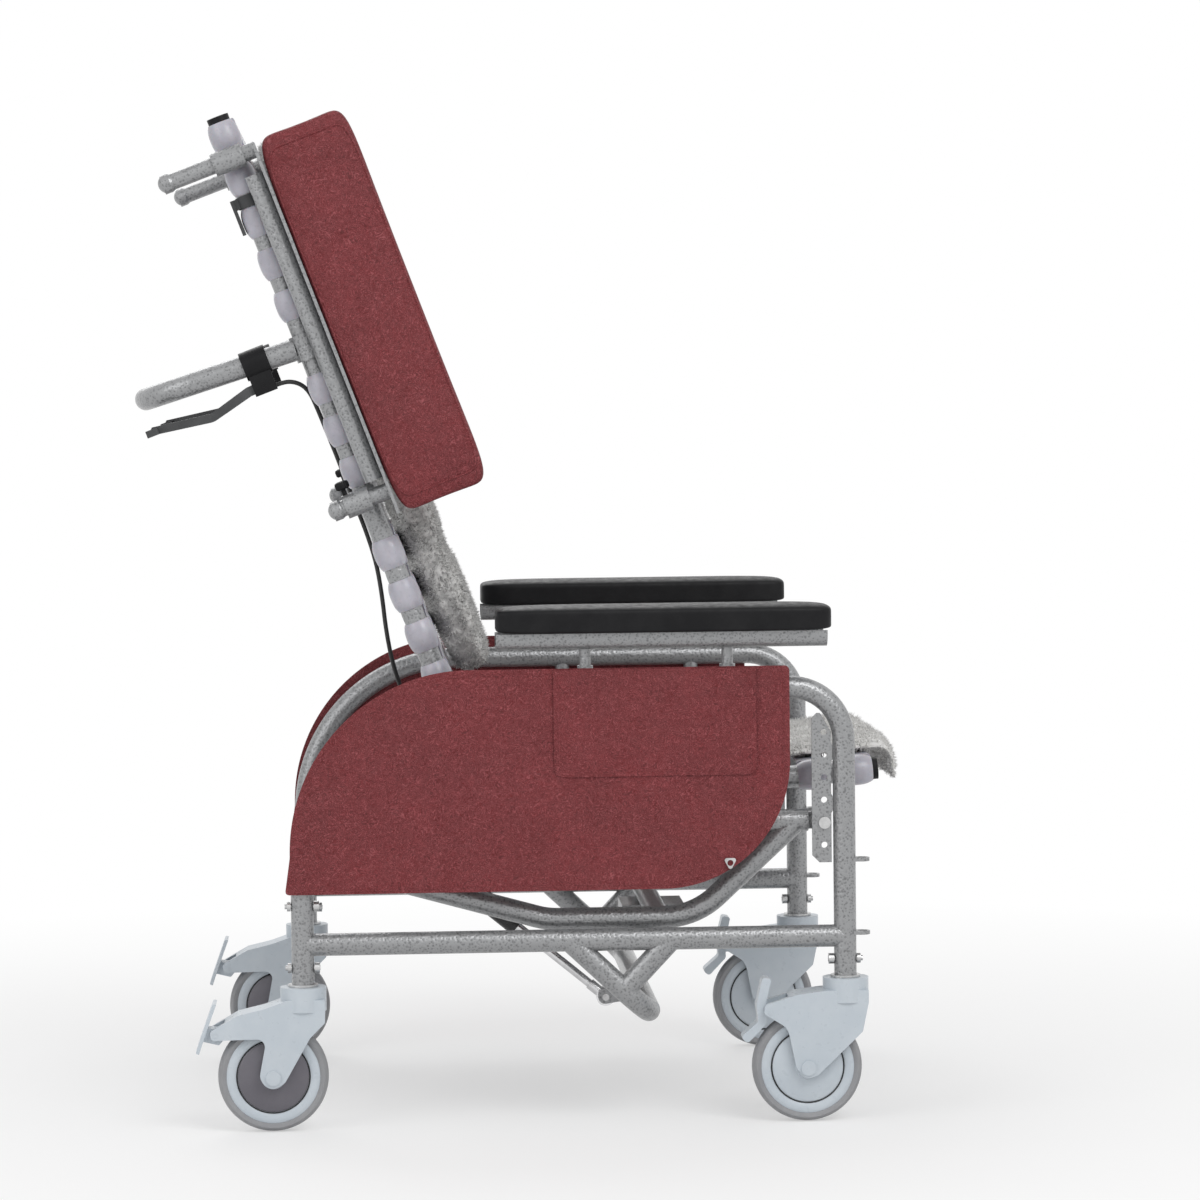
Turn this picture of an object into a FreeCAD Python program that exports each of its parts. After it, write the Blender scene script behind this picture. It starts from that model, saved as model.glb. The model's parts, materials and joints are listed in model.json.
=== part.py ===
"""Tilt in space wheelchair, built piece by piece in millimetres.

X points forwards, the way the occupant faces, Y to the occupant's left and Z up.
The floor is Z = 0.  The chair is three nested frames: the base with its casters,
a tilt frame hinged on the front height plates, and a strapped seat and back that
rock on the tilt frame and recline about the seat's rear corner.
"""
import FreeCAD, Part
import Sketcher
import math
import os
from FreeCAD import Placement, Rotation, Vector

doc = FreeCAD.newDocument("tilt_wheelchair")

# Driving dimensions: alias, value in millimetres or degrees, meaning
SIZES = (
    ("ahead_of_origin", 52.3, "mid wheelbase ahead of the origin"),
    ("frame_tube", 25.4, "outer diameter of the frame tube"),
    ("tube_wall", 1.6, "wall of every steel tube"),
    ("slim_tube", 19.0, "outer diameter of cross tubes and wing tubes"),
    ("side_out", 290.0, "side frame plane from the middle"),
    ("rear_leg", 306.0, "rear leg behind mid wheelbase"),
    ("front_leg", 309.5, "front leg ahead of mid wheelbase"),
    ("leg_foot", 166.0, "height of the legs' lower ends"),
    ("rail_high", 210.0, "height of the lower rail"),
    ("frame_high", 494.0, "height of the side frame's top tube"),
    ("rear_bend", 190.0, "bend at the top of the rear leg"),
    ("front_bend", 61.0, "bend at the top of the front leg"),
    ("cross_high", 254.0, "height of the rear cross tube"),
    ("brace_back", -4.5, "top of the under brace from mid wheelbase"),
    ("brace_low_x", 88.0, "crossbar of the under brace ahead of mid wheelbase"),
    ("brace_low_z", 123.0, "height of the under brace's crossbar"),
    ("brace_bend", 45.0, "bend of the under brace"),
    ("strut_x", 112.0, "top of the brace strut ahead of mid wheelbase"),
    ("plate_wide", 22.0, "width of the height plate"),
    ("pivot_behind", 22.7, "tilt pivot behind the front leg"),
    ("plate_thick", 4.0, "thickness of the height plate"),
    ("plate_low", 294.0, "lower end of the height plate"),
    ("plate_top", 464.0, "upper end of the height plate"),
    ("hole_pitch", 25.7, "pitch of the height plate's holes"),
    ("hole_first", 442.3, "height of the top hole"),
    ("hole_wide", 7.2, "diameter of the open holes"),
    ("panel_thick", 4.0, "thickness of the side panel"),
    ("panel_low", 268.5, "lower edge of the side panel"),
    ("panel_top", 519.5, "upper edge of the side panel"),
    ("panel_front", 247.0, "front edge of the side panel"),
    ("panel_rear", 319.0, "rear edge of the side panel, backwards"),
    ("panel_rear_arc", 205.0, "round of the panel's rear corner"),
    ("panel_front_arc", 144.0, "round of the panel's lower front corner"),
    ("flap_rear", -20.0, "rear edge of the pocket flap"),
    ("flap_front", 209.0, "front edge of the pocket flap"),
    ("flap_low", 397.0, "lower edge of the pocket flap"),
    ("flap_thick", 2.0, "thickness of the pocket flap"),
    ("arm_rear", -84.0, "rear end of the arm pad"),
    ("arm_front", 295.0, "front end of the arm pad"),
    ("arm_low", 541.0, "underside of the arm channel"),
    ("channel_deep", 18.5, "depth of the arm channel"),
    ("arm_pad_deep", 31.5, "depth of the arm pad"),
    ("arm_wide", 76.0, "width of the arm pad"),
    ("channel_wide", 52.0, "width of the arm channel"),
    ("channel_wall", 2.5, "wall of the arm channel"),
    ("post_rear", 17.0, "rear arm post from mid wheelbase"),
    ("post_front", 178.0, "front arm post from mid wheelbase"),
    ("post_wide", 12.7, "diameter of the arm posts"),
    ("post_low", 385.0, "lower end of the arm posts"),
    ("socket_wide", 18.0, "outer diameter of the arm sockets"),
    ("socket_low", 380.0, "lower end of the arm sockets"),
    ("socket_top", 522.0, "upper end of the arm sockets"),
    ("running_fit", 0.05, "radial clearance of pins, axles and slides"),
    ("seat_fit", 0.25, "gap left between a welded strip and the tube it is welded to"),
    ("air", 0.3, "gap between pieces that move past each other"),
    ("tilt_out", 262.0, "tilt frame side plane from the middle"),
    ("tilt_rear", 215.0, "rear end of the tilt frame, backwards"),
    ("boat_low", 231.0, "height of the cradle's flat bottom"),
    ("boat_rear", -28.0, "rear end of the cradle's flat bottom"),
    ("boat_front", 140.0, "front end of the cradle's flat bottom"),
    ("boat_rise", 283.0, "height of the cradle at the tilt frame's rear"),
    ("boat_bend", 90.0, "bends of the cradle's bottom"),
    ("rear_turn", 28.0, "bends at the tilt frame's rear"),
    ("tilt_lug", 8.0, "thickness of the tilt pivot lugs"),
    ("bolt_wide", 8.0, "diameter of pivot bolts"),
    ("lug_thick", 5.0, "thickness of hinge lugs"),
    ("hinge_back", 91.0, "recline hinge behind mid wheelbase"),
    ("hinge_high", 356.0, "height of the recline hinge"),
    ("seat_rise", 5.0, "slope of the seat in degrees"),
    ("recline_angle", 20.7, "lean of the back in degrees"),
    ("seat_out", 228.0, "seat and back tubes from the middle"),
    ("seat_long", 441.0, "seat tube end ahead of the recline hinge"),
    ("rock_ahead", 170.2, "rocking pivot ahead of the recline hinge along the seat"),
    ("rock_above", 28.9, "rocking pivot above the seat tube"),
    ("strap_wide", 35.0, "width of one seat or back strap"),
    ("strap_pitch", 50.6, "pitch of the straps"),
    ("strap_thick", 4.5, "thickness of the straps"),
    ("plug_long", 6.0, "length of the tube plugs outside the tube"),
    ("seat_pad_half", 208.0, "half width of the seat pad"),
    ("seat_pad_thick", 14.0, "thickness of the seat pad at its crown"),
    ("back_long", 836.0, "length of the back tubes above the hinge"),
    ("back_pad_half", 196.0, "half width of the back pad"),
    ("back_pad_low", 142.0, "lower edge of the back pad"),
    ("back_pad_top", 806.0, "upper edge of the back pad"),
    ("back_pad_thick", 54.0, "thickness of the back pad at its crown"),
    ("bar_high", 566.5, "push bar clamp along the back tube"),
    ("bar_reach", 195.0, "push bar behind the back tube"),
    ("bar_lift", 3.0, "slope of the push bar in degrees"),
    ("bar_bend", 60.0, "bends of the push bar"),
    ("wing_out", 262.0, "wing tubes from the middle"),
    ("wing_tube_high", 793.0, "upper wing tube along the back"),
    ("wing_tube_low", 381.0, "lower wing tube along the back"),
    ("wing_low", 350.0, "lower edge of the wing pad"),
    ("wing_top", 804.0, "upper edge of the wing pad"),
    ("wing_rear", 29.0, "rear face of the wing pad ahead of the back tube"),
    ("wing_front", 139.0, "front face of the wing pad ahead of the back tube"),
    ("wing_in", 236.0, "inner face of the wing pad"),
    ("wing_thick", 54.0, "thickness of the wing pad at its crown"),
    ("wheel_wide", 125.0, "diameter of the caster wheels"),
    ("tread_wide", 28.0, "width of the tyre"),
    ("tyre_deep", 9.5, "radial depth of the tyre"),
    ("rear_trail", 35.0, "trail of the rear casters"),
    ("front_trail", 45.0, "trail of the front casters"),
    ("axle_wide", 10.0, "diameter of the wheel axle"),
    ("fork_wide", 46.0, "width of the caster fork"),
    ("fork_gap", 32.0, "slot of the caster fork"),
    ("collar_wide", 52.0, "diameter of the caster collar"),
    ("spindle_wide", 12.0, "diameter of the swivel spindle"),
    ("rod_wide", 10.0, "diameter of the gas spring rods"),
    ("tilt_case", 24.0, "diameter of the tilt spring's cylinder"),
    ("recline_case", 20.0, "diameter of the recline spring's cylinder"),
    ("spring_out", 60.0, "gas springs from the middle"),
    ("cable_wide", 5.0, "diameter of the release cable"),
)

sheet = doc.addObject("Spreadsheet::Sheet", "Sizes")
for row, (alias, number, meaning) in enumerate(SIZES, start=1):
    sheet.set(f"A{row}", meaning)
    sheet.set(f"B{row}", str(number))
    sheet.setAlias(f"B{row}", alias)
doc.recompute()


class Size:
    """A length or an angle that keeps its number and its expression over the sheet."""

    def __init__(self, value, text):
        self.value = value
        self.text = text

    def _join(self, other, sign, value):
        right = other.text if isinstance(other, Size) else repr(float(other))
        return Size(value, f"({self.text} {sign} {right})")

    def __add__(self, other):
        return self._join(other, "+", self.value + number_of(other))

    def __sub__(self, other):
        return self._join(other, "-", self.value - number_of(other))

    def __mul__(self, other):
        return self._join(other, "*", self.value * number_of(other))

    def __truediv__(self, other):
        return self._join(other, "/", self.value / number_of(other))

    def __neg__(self):
        return Size(-self.value, f"(-1.0 * {self.text})")


def number_of(thing):
    """The plain number of a Size or a number."""
    return thing.value if isinstance(thing, Size) else float(thing)


def as_size(thing):
    """A Size, made from a plain number where it is one."""
    return thing if isinstance(thing, Size) else Size(float(thing), repr(float(thing)))


def sine(angle):
    """Sine of an angle in degrees."""
    return Size(math.sin(math.radians(angle.value)), f"sin({angle.text})")


def cosine(angle):
    """Cosine of an angle in degrees."""
    return Size(math.cos(math.radians(angle.value)), f"cos({angle.text})")


class Dimensions:
    """Every driving dimension of the sheet as an attribute."""


d = Dimensions()
for alias, number, meaning in SIZES:
    setattr(d, alias, Size(float(sheet.get(alias)), f"Sizes.{alias}"))

tube_r = d.frame_tube / 2
bore_r = tube_r - d.tube_wall
slim_r = d.slim_tube / 2
bolt_r = d.bolt_wide / 2
strap_r = tube_r + d.strap_thick
wheel_r = d.wheel_wide / 2
rock_x = d.rock_ahead * cosine(d.seat_rise) - d.rock_above * sine(d.seat_rise) - d.hinge_back
rock_z = d.rock_ahead * sine(d.seat_rise) + d.rock_above * cosine(d.seat_rise) + d.hinge_high
pivot_x = d.front_leg - d.pivot_behind
pivot_z = d.hole_first - d.hole_pitch * 4
SIDES = (("right", -1), ("left", 1))
kept = []


def bind(thing, path, size):
    """Bind one property of an object to an expression over the sheet."""
    thing.setExpression(path, as_size(size).text)


def place(thing, x, y, z, rotation=None):
    """Put an object at a bound position, turned as given."""
    x, y, z = as_size(x), as_size(y), as_size(z)
    thing.Placement = Placement(Vector(x.value, y.value, z.value), rotation or Rotation())
    bind(thing, "Placement.Base.x", x)
    bind(thing, "Placement.Base.y", y)
    bind(thing, "Placement.Base.z", z)
    return thing


UPRIGHT = Rotation()
ALONG_Y = Rotation(Vector(1, 0, 0), -90)
ALONG_X = Rotation(Vector(0, 1, 0), 90)


def rod(label, radius, length, x, y, z, rotation=UPRIGHT):
    """A round bar from a bound point, along the axis that its rotation gives."""
    bar = doc.addObject("Part::Cylinder", label)
    bar.Radius = number_of(radius)
    bar.Height = number_of(length)
    bind(bar, "Radius", radius)
    bind(bar, "Height", length)
    return place(bar, x, y, z, rotation)


def pin(label, radius, x, z, middle, length):
    """A round bar along Y, centred on the point middle of its axis."""
    return rod(label, radius, length, x, as_size(middle) - length / 2, z, ALONG_Y)


def block(label, x, y, z, long, wide, high):
    """A box from its low corner."""
    box = doc.addObject("Part::Box", label)
    for path, size in (("Length", long), ("Width", wide), ("Height", high)):
        setattr(box, path, number_of(size))
        bind(box, path, size)
    return place(box, x, y, z)


def join(label, pieces):
    """Weld pieces into one solid."""
    fused = doc.addObject("Part::MultiFuse", label)
    fused.Shapes = pieces
    fused.Refine = True
    return fused


def cut(label, base, tool):
    """Cut a tool out of a base."""
    left = doc.addObject("Part::Cut", label)
    left.Base = base
    left.Tool = tool
    left.Refine = True
    return left


def cut_all(label, base, tools):
    """Cut several tools out of a base, one after the other."""
    left = base
    for number, tool in enumerate(tools, start=1):
        left = cut(f"{label}_{number}", left, tool)
        left.Refine = tool is tools[-1]
    return left


def group(label, pieces):
    """Separate solids that share one node."""
    held = doc.addObject("Part::Compound", label)
    held.Links = pieces
    return held


def new_body(label):
    """A PartDesign body with the node's or the helper's label."""
    return doc.addObject("PartDesign::Body", label)


def origin_plane(body, role):
    """One of a body's own origin planes."""
    for feature in body.Origin.OriginFeatures:
        if feature.Role == role:
            return feature
    raise ValueError(role)


def new_sketch(body, role, label, lift=0.0):
    """A sketch on an origin plane of its body, lifted along the plane's normal."""
    lift = as_size(lift)
    sketch = body.newObject("Sketcher::SketchObject", label)
    sketch.AttachmentSupport = (origin_plane(body, role), "")
    sketch.MapMode = "FlatFace"
    sketch.AttachmentOffset = Placement(Vector(0, 0, lift.value), Rotation())
    bind(sketch, "AttachmentOffset.Base.z", lift)
    return sketch


def bound(sketch, kind, geometry, size, where=None):
    """Add one dimension to a sketch and bind it to the sheet."""
    size = as_size(size)
    if where is None:
        index = sketch.addConstraint(Sketcher.Constraint(kind, geometry, size.value))
    else:
        index = sketch.addConstraint(Sketcher.Constraint(kind, geometry, where, size.value))
    bind(sketch, f"Constraints[{index}]", size)


def circle(sketch, x, y, radius):
    """A circle with its centre and radius bound."""
    centre = Vector(number_of(x), number_of(y), 0)
    index = sketch.addGeometry(Part.Circle(centre, Vector(0, 0, 1), number_of(radius)))
    bound(sketch, "DistanceX", index, x, 3)
    bound(sketch, "DistanceY", index, y, 3)
    bound(sketch, "Radius", index, radius)


def corner_arc(before, corner, after, radius):
    """Tangent points, arc and turning side of a rounded corner between two runs."""
    inward = (corner - before).normalize()
    onward = (after - corner).normalize()
    turn = math.atan2(inward.x * onward.y - inward.y * onward.x, inward.dot(onward))
    reach = radius * math.tan(abs(turn) / 2)
    start = corner - inward * reach
    end = corner + onward * reach
    side = 1.0 if turn > 0 else -1.0
    centre = start + Vector(-inward.y, inward.x, 0) * radius * side
    first, last = (start, end) if turn > 0 else (end, start)
    angle_1 = math.atan2(first.y - centre.y, first.x - centre.x)
    angle_2 = math.atan2(last.y - centre.y, last.x - centre.x)
    if angle_2 < angle_1:
        angle_2 += 2 * math.pi
    arc = Part.ArcOfCircle(Part.Circle(centre, Vector(0, 0, 1), radius), angle_1, angle_2)
    return start, end, arc, turn > 0


def trace(sketch, corners, closed):
    """Runs through bound corners, rounded where a corner has a radius.

    Each corner is (x, y) or (x, y, radius).  Construction points hold the corners,
    the runs pass through them and the arcs are tangent to the runs.
    """
    points = [Vector(number_of(c[0]), number_of(c[1]), 0) for c in corners]
    count = len(points)
    starts, ends, arcs = [], [], []
    for index, corner in enumerate(corners):
        rounded = len(corner) > 2 and (closed or 0 < index < count - 1)
        if rounded:
            before, after = points[index - 1], points[(index + 1) % count]
            start, end, arc, left = corner_arc(before, points[index], after, number_of(corner[2]))
            starts.append(start)
            ends.append(end)
            arcs.append((sketch.addGeometry(arc), left))
        else:
            starts.append(points[index])
            ends.append(points[index])
            arcs.append(None)
    runs = []
    for index in range(count if closed else count - 1):
        after = (index + 1) % count
        runs.append(sketch.addGeometry(Part.LineSegment(ends[index], starts[after])))
    for index, corner in enumerate(corners):
        into = runs[index - 1] if closed or index > 0 else None
        out = runs[index] if index < len(runs) else None
        if arcs[index] is None:
            if into is not None and out is not None:
                sketch.addConstraint(Sketcher.Constraint("Coincident", into, 2, out, 1))
            run, end = (out, 1) if out is not None else (into, 2)
            bound(sketch, "DistanceX", run, corner[0], end)
            bound(sketch, "DistanceY", run, corner[1], end)
            continue
        arc, left = arcs[index]
        near, far = (1, 2) if left else (2, 1)
        sketch.addConstraint(Sketcher.Constraint("Tangent", into, 2, arc, near))
        sketch.addConstraint(Sketcher.Constraint("Tangent", arc, far, out, 1))
        bound(sketch, "Radius", arc, corner[2])
        mark = sketch.addGeometry(Part.Point(points[index]), True)
        sketch.addConstraint(Sketcher.Constraint("PointOnObject", mark, 1, into))
        sketch.addConstraint(Sketcher.Constraint("PointOnObject", mark, 1, out))
        bound(sketch, "DistanceX", mark, corner[0], 1)
        bound(sketch, "DistanceY", mark, corner[1], 1)
    return sketch


def padded(body, sketch, length, label="pad"):
    """Pad a sketch along its plane's normal."""
    feature = body.newObject("PartDesign::Pad", label)
    feature.Profile = sketch
    feature.Length = number_of(length)
    bind(feature, "Length", length)
    return feature


def plate(label, corners, inner, thick, side, holes=()):
    """A flat plate in an XZ plane, its inner face at the distance inner from the middle."""
    body = new_body(label)
    inner = as_size(inner)
    lift = inner if side < 0 else -(inner + thick)
    sketch = new_sketch(body, "XZ_Plane", label + "_outline", lift)
    trace(sketch, corners, True)
    for x, z, radius in holes:
        circle(sketch, x, z, radius)
    padded(body, sketch, thick, label + "_pad")
    return body


def slab(label, corners, half):
    """A plate in the XZ plane, centred on the middle, with the given half width."""
    body = new_body(label)
    sketch = new_sketch(body, "XZ_Plane", label + "_outline", -as_size(half))
    trace(sketch, corners, True)
    padded(body, sketch, as_size(half) * 2, label + "_pad")
    return body


def pipe(body, role, corners, radius, label, lift=0.0, hollow=None):
    """Sweep a round section along a route of runs and bends in an origin plane."""
    path = new_sketch(body, role, label + "_route", lift)
    trace(path, corners, False)
    edges = 1 + 2 * (len(corners) - 2)
    first, second = corners[0], corners[1]
    heading = Vector(number_of(second[0]) - number_of(first[0]),
                     number_of(second[1]) - number_of(first[1]), 0)
    section = body.newObject("Sketcher::SketchObject", label + "_section")
    section.AttachmentSupport = (origin_plane(body, role), "")
    section.MapMode = "FlatFace"
    start = Vector(number_of(first[0]), number_of(first[1]), number_of(lift))
    section.AttachmentOffset = Placement(start, Rotation(Vector(0, 0, 1), heading))
    bind(section, "AttachmentOffset.Base.x", first[0])
    bind(section, "AttachmentOffset.Base.y", first[1])
    bind(section, "AttachmentOffset.Base.z", lift)
    circle(section, 0.0, 0.0, radius)
    kind = "PartDesign::AdditivePipe" if hollow is None else "PartDesign::SubtractivePipe"
    swept = body.newObject(kind, label)
    swept.Profile = section
    swept.Spine = (path, [f"Edge{number}" for number in range(1, edges + 1)])
    return swept


def keep(thing, node):
    """Give a finished sub-part its node name and keep it for export."""
    thing.Label = node
    kept.append(thing)
    return thing


def on_base(thing, node):
    """Keep a sub-part that is drawn in the base's coordinates."""
    place(thing, d.ahead_of_origin, 0.0, 0.0)
    return keep(thing, node)


def lean(thing, node, angle):
    """Keep a sub-part drawn along the seat or the back, turned about the recline hinge."""
    place(thing, d.ahead_of_origin - d.hinge_back, 0.0, d.hinge_high,
          Rotation(Vector(0, -1, 0), angle.value))
    bind(thing, "Placement.Rotation.Angle", angle)
    return keep(thing, node)


def on_seat(thing, node):
    """Keep a sub-part drawn with X along the seat and Z square to it."""
    return lean(thing, node, d.seat_rise)


def on_back(thing, node):
    """Keep a sub-part drawn with Z up the back and X square to it."""
    return lean(thing, node, d.recline_angle)


def hollow_tubes(label, routes, fittings=()):
    """Weld tubes and fittings into one solid, then bore every tube through.

    Each route is (name, plane, corners, lift, radius).
    """
    outer = new_body(label + "_tubes")
    inner = new_body(label + "_bores")
    for name, role, corners, lift, radius in routes:
        pipe(outer, role, corners, radius, f"{label}_{name}", lift)
        pipe(inner, role, corners, radius - d.tube_wall, f"{label}_{name}_bore", lift)
    welded = join(label + "_weld", [outer, *fittings]) if fittings else outer
    return cut(label + "_hollow", welded, inner)


# Base

def side_frame(name, side):
    """Bent leg tube with its welded lower rail, bored for the arm sockets and bolts."""
    out = d.side_out * -side
    legs = ((-d.rear_leg, d.leg_foot), (-d.rear_leg, d.frame_high, d.rear_bend),
            (d.front_leg, d.frame_high, d.front_bend), (d.front_leg, d.leg_foot))
    rail = ((-d.rear_leg, d.rail_high), (d.front_leg, d.rail_high))
    tubes = hollow_tubes(f"side_{name}", (("legs", "XZ_Plane", legs, out, tube_r),
                                          ("rail", "XZ_Plane", rail, out, tube_r)))
    y = d.side_out * side
    tools = []
    for post, x in (("rear", d.post_rear), ("front", d.post_front)):
        tools.append(rod(f"side_{name}_{post}_hole", d.socket_wide / 2, d.frame_tube * 2, x, y,
                         d.frame_high - d.frame_tube))
    for end, x in (("rear", -d.rear_leg), ("front", d.front_leg)):
        tools.append(rod(f"side_{name}_{end}_bolt_hole", stem_bolt_r, d.frame_tube * 2,
                         x - d.frame_tube, y, stem_bolt_z, ALONG_X))
    tools.append(rod(f"side_{name}_cross_hole", stem_bolt_r, d.frame_tube * 2,
                     -d.rear_leg - d.frame_tube, y, d.cross_high, ALONG_X))
    on_base(cut(f"side_{name}_bored", tubes, join(f"side_{name}_holes", tools)),
            f"side_frame_{name}")


stem_bolt_r = as_size(3.1)
stem_bolt_z = d.leg_foot + 18.0
for name, side in SIDES:
    side_frame(name, side)

# Under brace: a U of tube below the rails and a strut up to the rail on each side
brace_run = d.rail_high - d.brace_low_z
brace_back_run = d.brace_low_x - d.brace_back
brace_long = math.hypot(brace_run.value, brace_back_run.value)
brace_up = Vector(-brace_back_run.value, 0, brace_run.value).normalize()
brace = new_body("brace_u")
brace_shape = ((-d.side_out, brace_long), (-d.side_out, 0.0, d.brace_bend),
               (d.side_out, 0.0, d.brace_bend), (d.side_out, brace_long))
pipe(brace, "XY_Plane", brace_shape, tube_r, "brace_u_pipe")
turned = Rotation(Vector(0, 1, 0), brace_up, Vector(), "XYZ")
place(brace, d.brace_low_x, 0.0, d.brace_low_z, turned)
brace_bore = new_body("brace_u_bore")
pipe(brace_bore, "XY_Plane", brace_shape, bore_r, "brace_u_bore_pipe")
place(brace_bore, d.brace_low_x, 0.0, d.brace_low_z, turned)
strut_turn = Rotation(Vector(0, 0, 1), Vector(-54.0, 0, -57.0))
struts = []
strut_bores = []
for name, side in SIDES:
    y = d.side_out * side
    struts.append(rod(f"strut_{name}", tube_r, as_size(78.5), d.strut_x, y, d.rail_high, strut_turn))
    strut_bores.append(rod(f"strut_bore_{name}", bore_r, as_size(78.5), d.strut_x, y, d.rail_high,
                           strut_turn))
spring_foot_x = d.brace_low_x - 40.0
spring_foot_z = d.brace_low_z - 9.0
lug_out = d.spring_out + 8.0
foot_lugs = []
for name, inner in (("inner", -lug_out - d.lug_thick), ("outer", -d.spring_out + 8.0)):
    lug = slab(f"spring_foot_{name}", (
        (spring_foot_x - 9.0, spring_foot_z - 9.0, 8.0), (d.brace_low_x, d.brace_low_z - tube_r + 2.0),
        (d.brace_low_x, d.brace_low_z + 9.0), (spring_foot_x - 9.0, spring_foot_z + 9.0, 8.0)),
        d.lug_thick / 2)
    foot_lugs.append(place(lug, 0.0, inner + d.lug_thick / 2, 0.0))
brace_weld = join("brace_weld", [brace, *struts, *foot_lugs])
rail_cutters = [rod(f"brace_cope_{name}", tube_r, d.rear_leg * 2, -d.rear_leg, d.side_out * side,
                    d.rail_high, ALONG_X) for name, side in SIDES]
lug_bore = pin("spring_foot_bore", bolt_r, spring_foot_x, spring_foot_z, -d.spring_out, as_size(40.0))
brace_tools = [brace_bore, *strut_bores, *rail_cutters, lug_bore]
on_base(cut_all("brace_cut", brace_weld, brace_tools), "under_brace")

# Rear cross tube, coped to the legs
cross_outer = pin("cross_outer", tube_r, -d.rear_leg, d.cross_high, 0.0, d.side_out * 2 - 8.0)
cross_tools = [pin("cross_bore", bore_r, -d.rear_leg, d.cross_high, 0.0, d.side_out * 2 + 2.0)]
for name, side in SIDES:
    cross_tools.append(rod(f"cross_cope_{name}", tube_r, d.rear_leg, -d.rear_leg, d.side_out * side,
                           d.leg_foot))
on_base(cut("cross_cut", cross_outer, join("cross_tools", cross_tools)), "rear_cross_tube")


# Height plates: holed strips with two teeth welded to each front leg
def height_plate(name, side):
    """One perforated height plate; the tilt bolt goes through its fifth hole."""
    leg_face = d.front_leg - tube_r - d.seat_fit
    front = leg_face - 1.7
    rear = front - d.plate_wide
    corners = [(rear, d.plate_low + 8.0), (rear + 8.0, d.plate_low), (front, d.plate_low)]
    for low in (d.plate_low + 56.0, d.plate_top - 56.0):
        corners += [(front, low), (leg_face, low + 3.0), (leg_face, low + 19.0), (front, low + 22.0)]
    bend_low = d.frame_high - d.front_bend
    corners += [(front, bend_low + 10.0), (front - 12.0, d.plate_top), (rear + 6.0, d.plate_top),
                (rear, d.plate_top - 6.0)]
    holes = []
    for row in range(6):
        radius = bolt_r if row == 4 else d.hole_wide / 2
        holes.append((pivot_x, d.hole_first - d.hole_pitch * row, radius))
    return plate(f"height_plate_{name}", corners, d.side_out - d.plate_thick / 2, d.plate_thick,
                 side, holes)


on_base(group("plates", [height_plate(name, side) for name, side in SIDES]), "height_plates")


# Bolts: the tilt pivots with their spacers, the caster stem bolts and the cross tube's bolts
def tilt_bolt(name, side):
    """Shouldered bolt, spacer, head and nut of one tilt pivot."""
    plate_in = d.side_out - d.plate_thick / 2
    plate_out = d.side_out + d.plate_thick / 2
    lug_in = d.tilt_out - d.tilt_lug / 2
    lug_face = d.tilt_out + d.tilt_lug / 2
    spans = (("shank", bolt_r - d.running_fit, lug_in - 10.0, plate_out + 1.0),
             ("spacer", bolt_r * 2, lug_face + d.air, plate_in),
             ("head", bolt_r * 1.7, plate_out, plate_out + 5.0),
             ("nut", bolt_r * 1.7, lug_in - 7.0, lug_in - d.air))
    parts = [pin(f"tilt_{part}_{name}", radius, pivot_x, pivot_z, (low + high) / 2 * side, high - low)
             for part, radius, low, high in spans]
    return join(f"tilt_bolt_{name}", parts)


def stem_bolt(label, x, y, z, head_side):
    """Bolt along X through a leg, with its head on one side and a nut on the other."""
    reach = tube_r + 7.0
    shank = rod(label + "_shank", stem_bolt_r - 0.1, reach * 2, x - reach, y, z, ALONG_X)
    head = rod(label + "_head", as_size(5.6), as_size(4.0), x + (tube_r + 0.4) * head_side
               + (-4.0 if head_side < 0 else 0.0), y, z, ALONG_X)
    nut = rod(label + "_nut", as_size(6.0), as_size(6.0), x - (tube_r + 0.4) * head_side
              + (-6.0 if head_side > 0 else 0.0), y, z, ALONG_X)
    return join(label, [shank, head, nut])


bolts = []
for name, side in SIDES:
    y = d.side_out * side
    bolts.append(tilt_bolt(name, side))
    bolts.append(stem_bolt(f"rear_stem_bolt_{name}", -d.rear_leg, y, stem_bolt_z, -1))
    bolts.append(stem_bolt(f"front_stem_bolt_{name}", d.front_leg, y, stem_bolt_z, 1))
    bolts.append(stem_bolt(f"cross_bolt_{name}", -d.rear_leg, y, d.cross_high, -1))
foot_pin = pin("spring_foot_pin", bolt_r, spring_foot_x, spring_foot_z, -d.spring_out, as_size(27.0))
bolts.append(foot_pin)
on_base(group("bolts", bolts), "frame_bolts")


# Tie-down loops: flat eyes welded to the front of each front leg
def tie_loop(label, y, z):
    """One flat eye, coped to the leg."""
    thick = as_size(4.0)
    tongue = block(label + "_tongue", d.front_leg, y - 9.0, z - thick / 2, as_size(18.0),
                   as_size(18.0), thick)
    eye = rod(label + "_eye", as_size(10.0), thick, d.front_leg + 18.5, y, z - thick / 2)
    hole = rod(label + "_hole", as_size(5.5), thick * 2, d.front_leg + 20.0, y, z - thick)
    leg = rod(label + "_leg", tube_r, thick * 2, d.front_leg, y, z - thick)
    return cut(label, join(label + "_flat", [tongue, eye]), join(label + "_tools", [hole, leg]))


loops = []
for name, side in SIDES:
    for level, z in (("low", d.rail_high + 3.5), ("high", d.plate_low + 3.0)):
        loops.append(tie_loop(f"tie_{level}_{name}", d.side_out * side, z))
on_base(group("loops", loops), "tie_down_loops")


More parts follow.
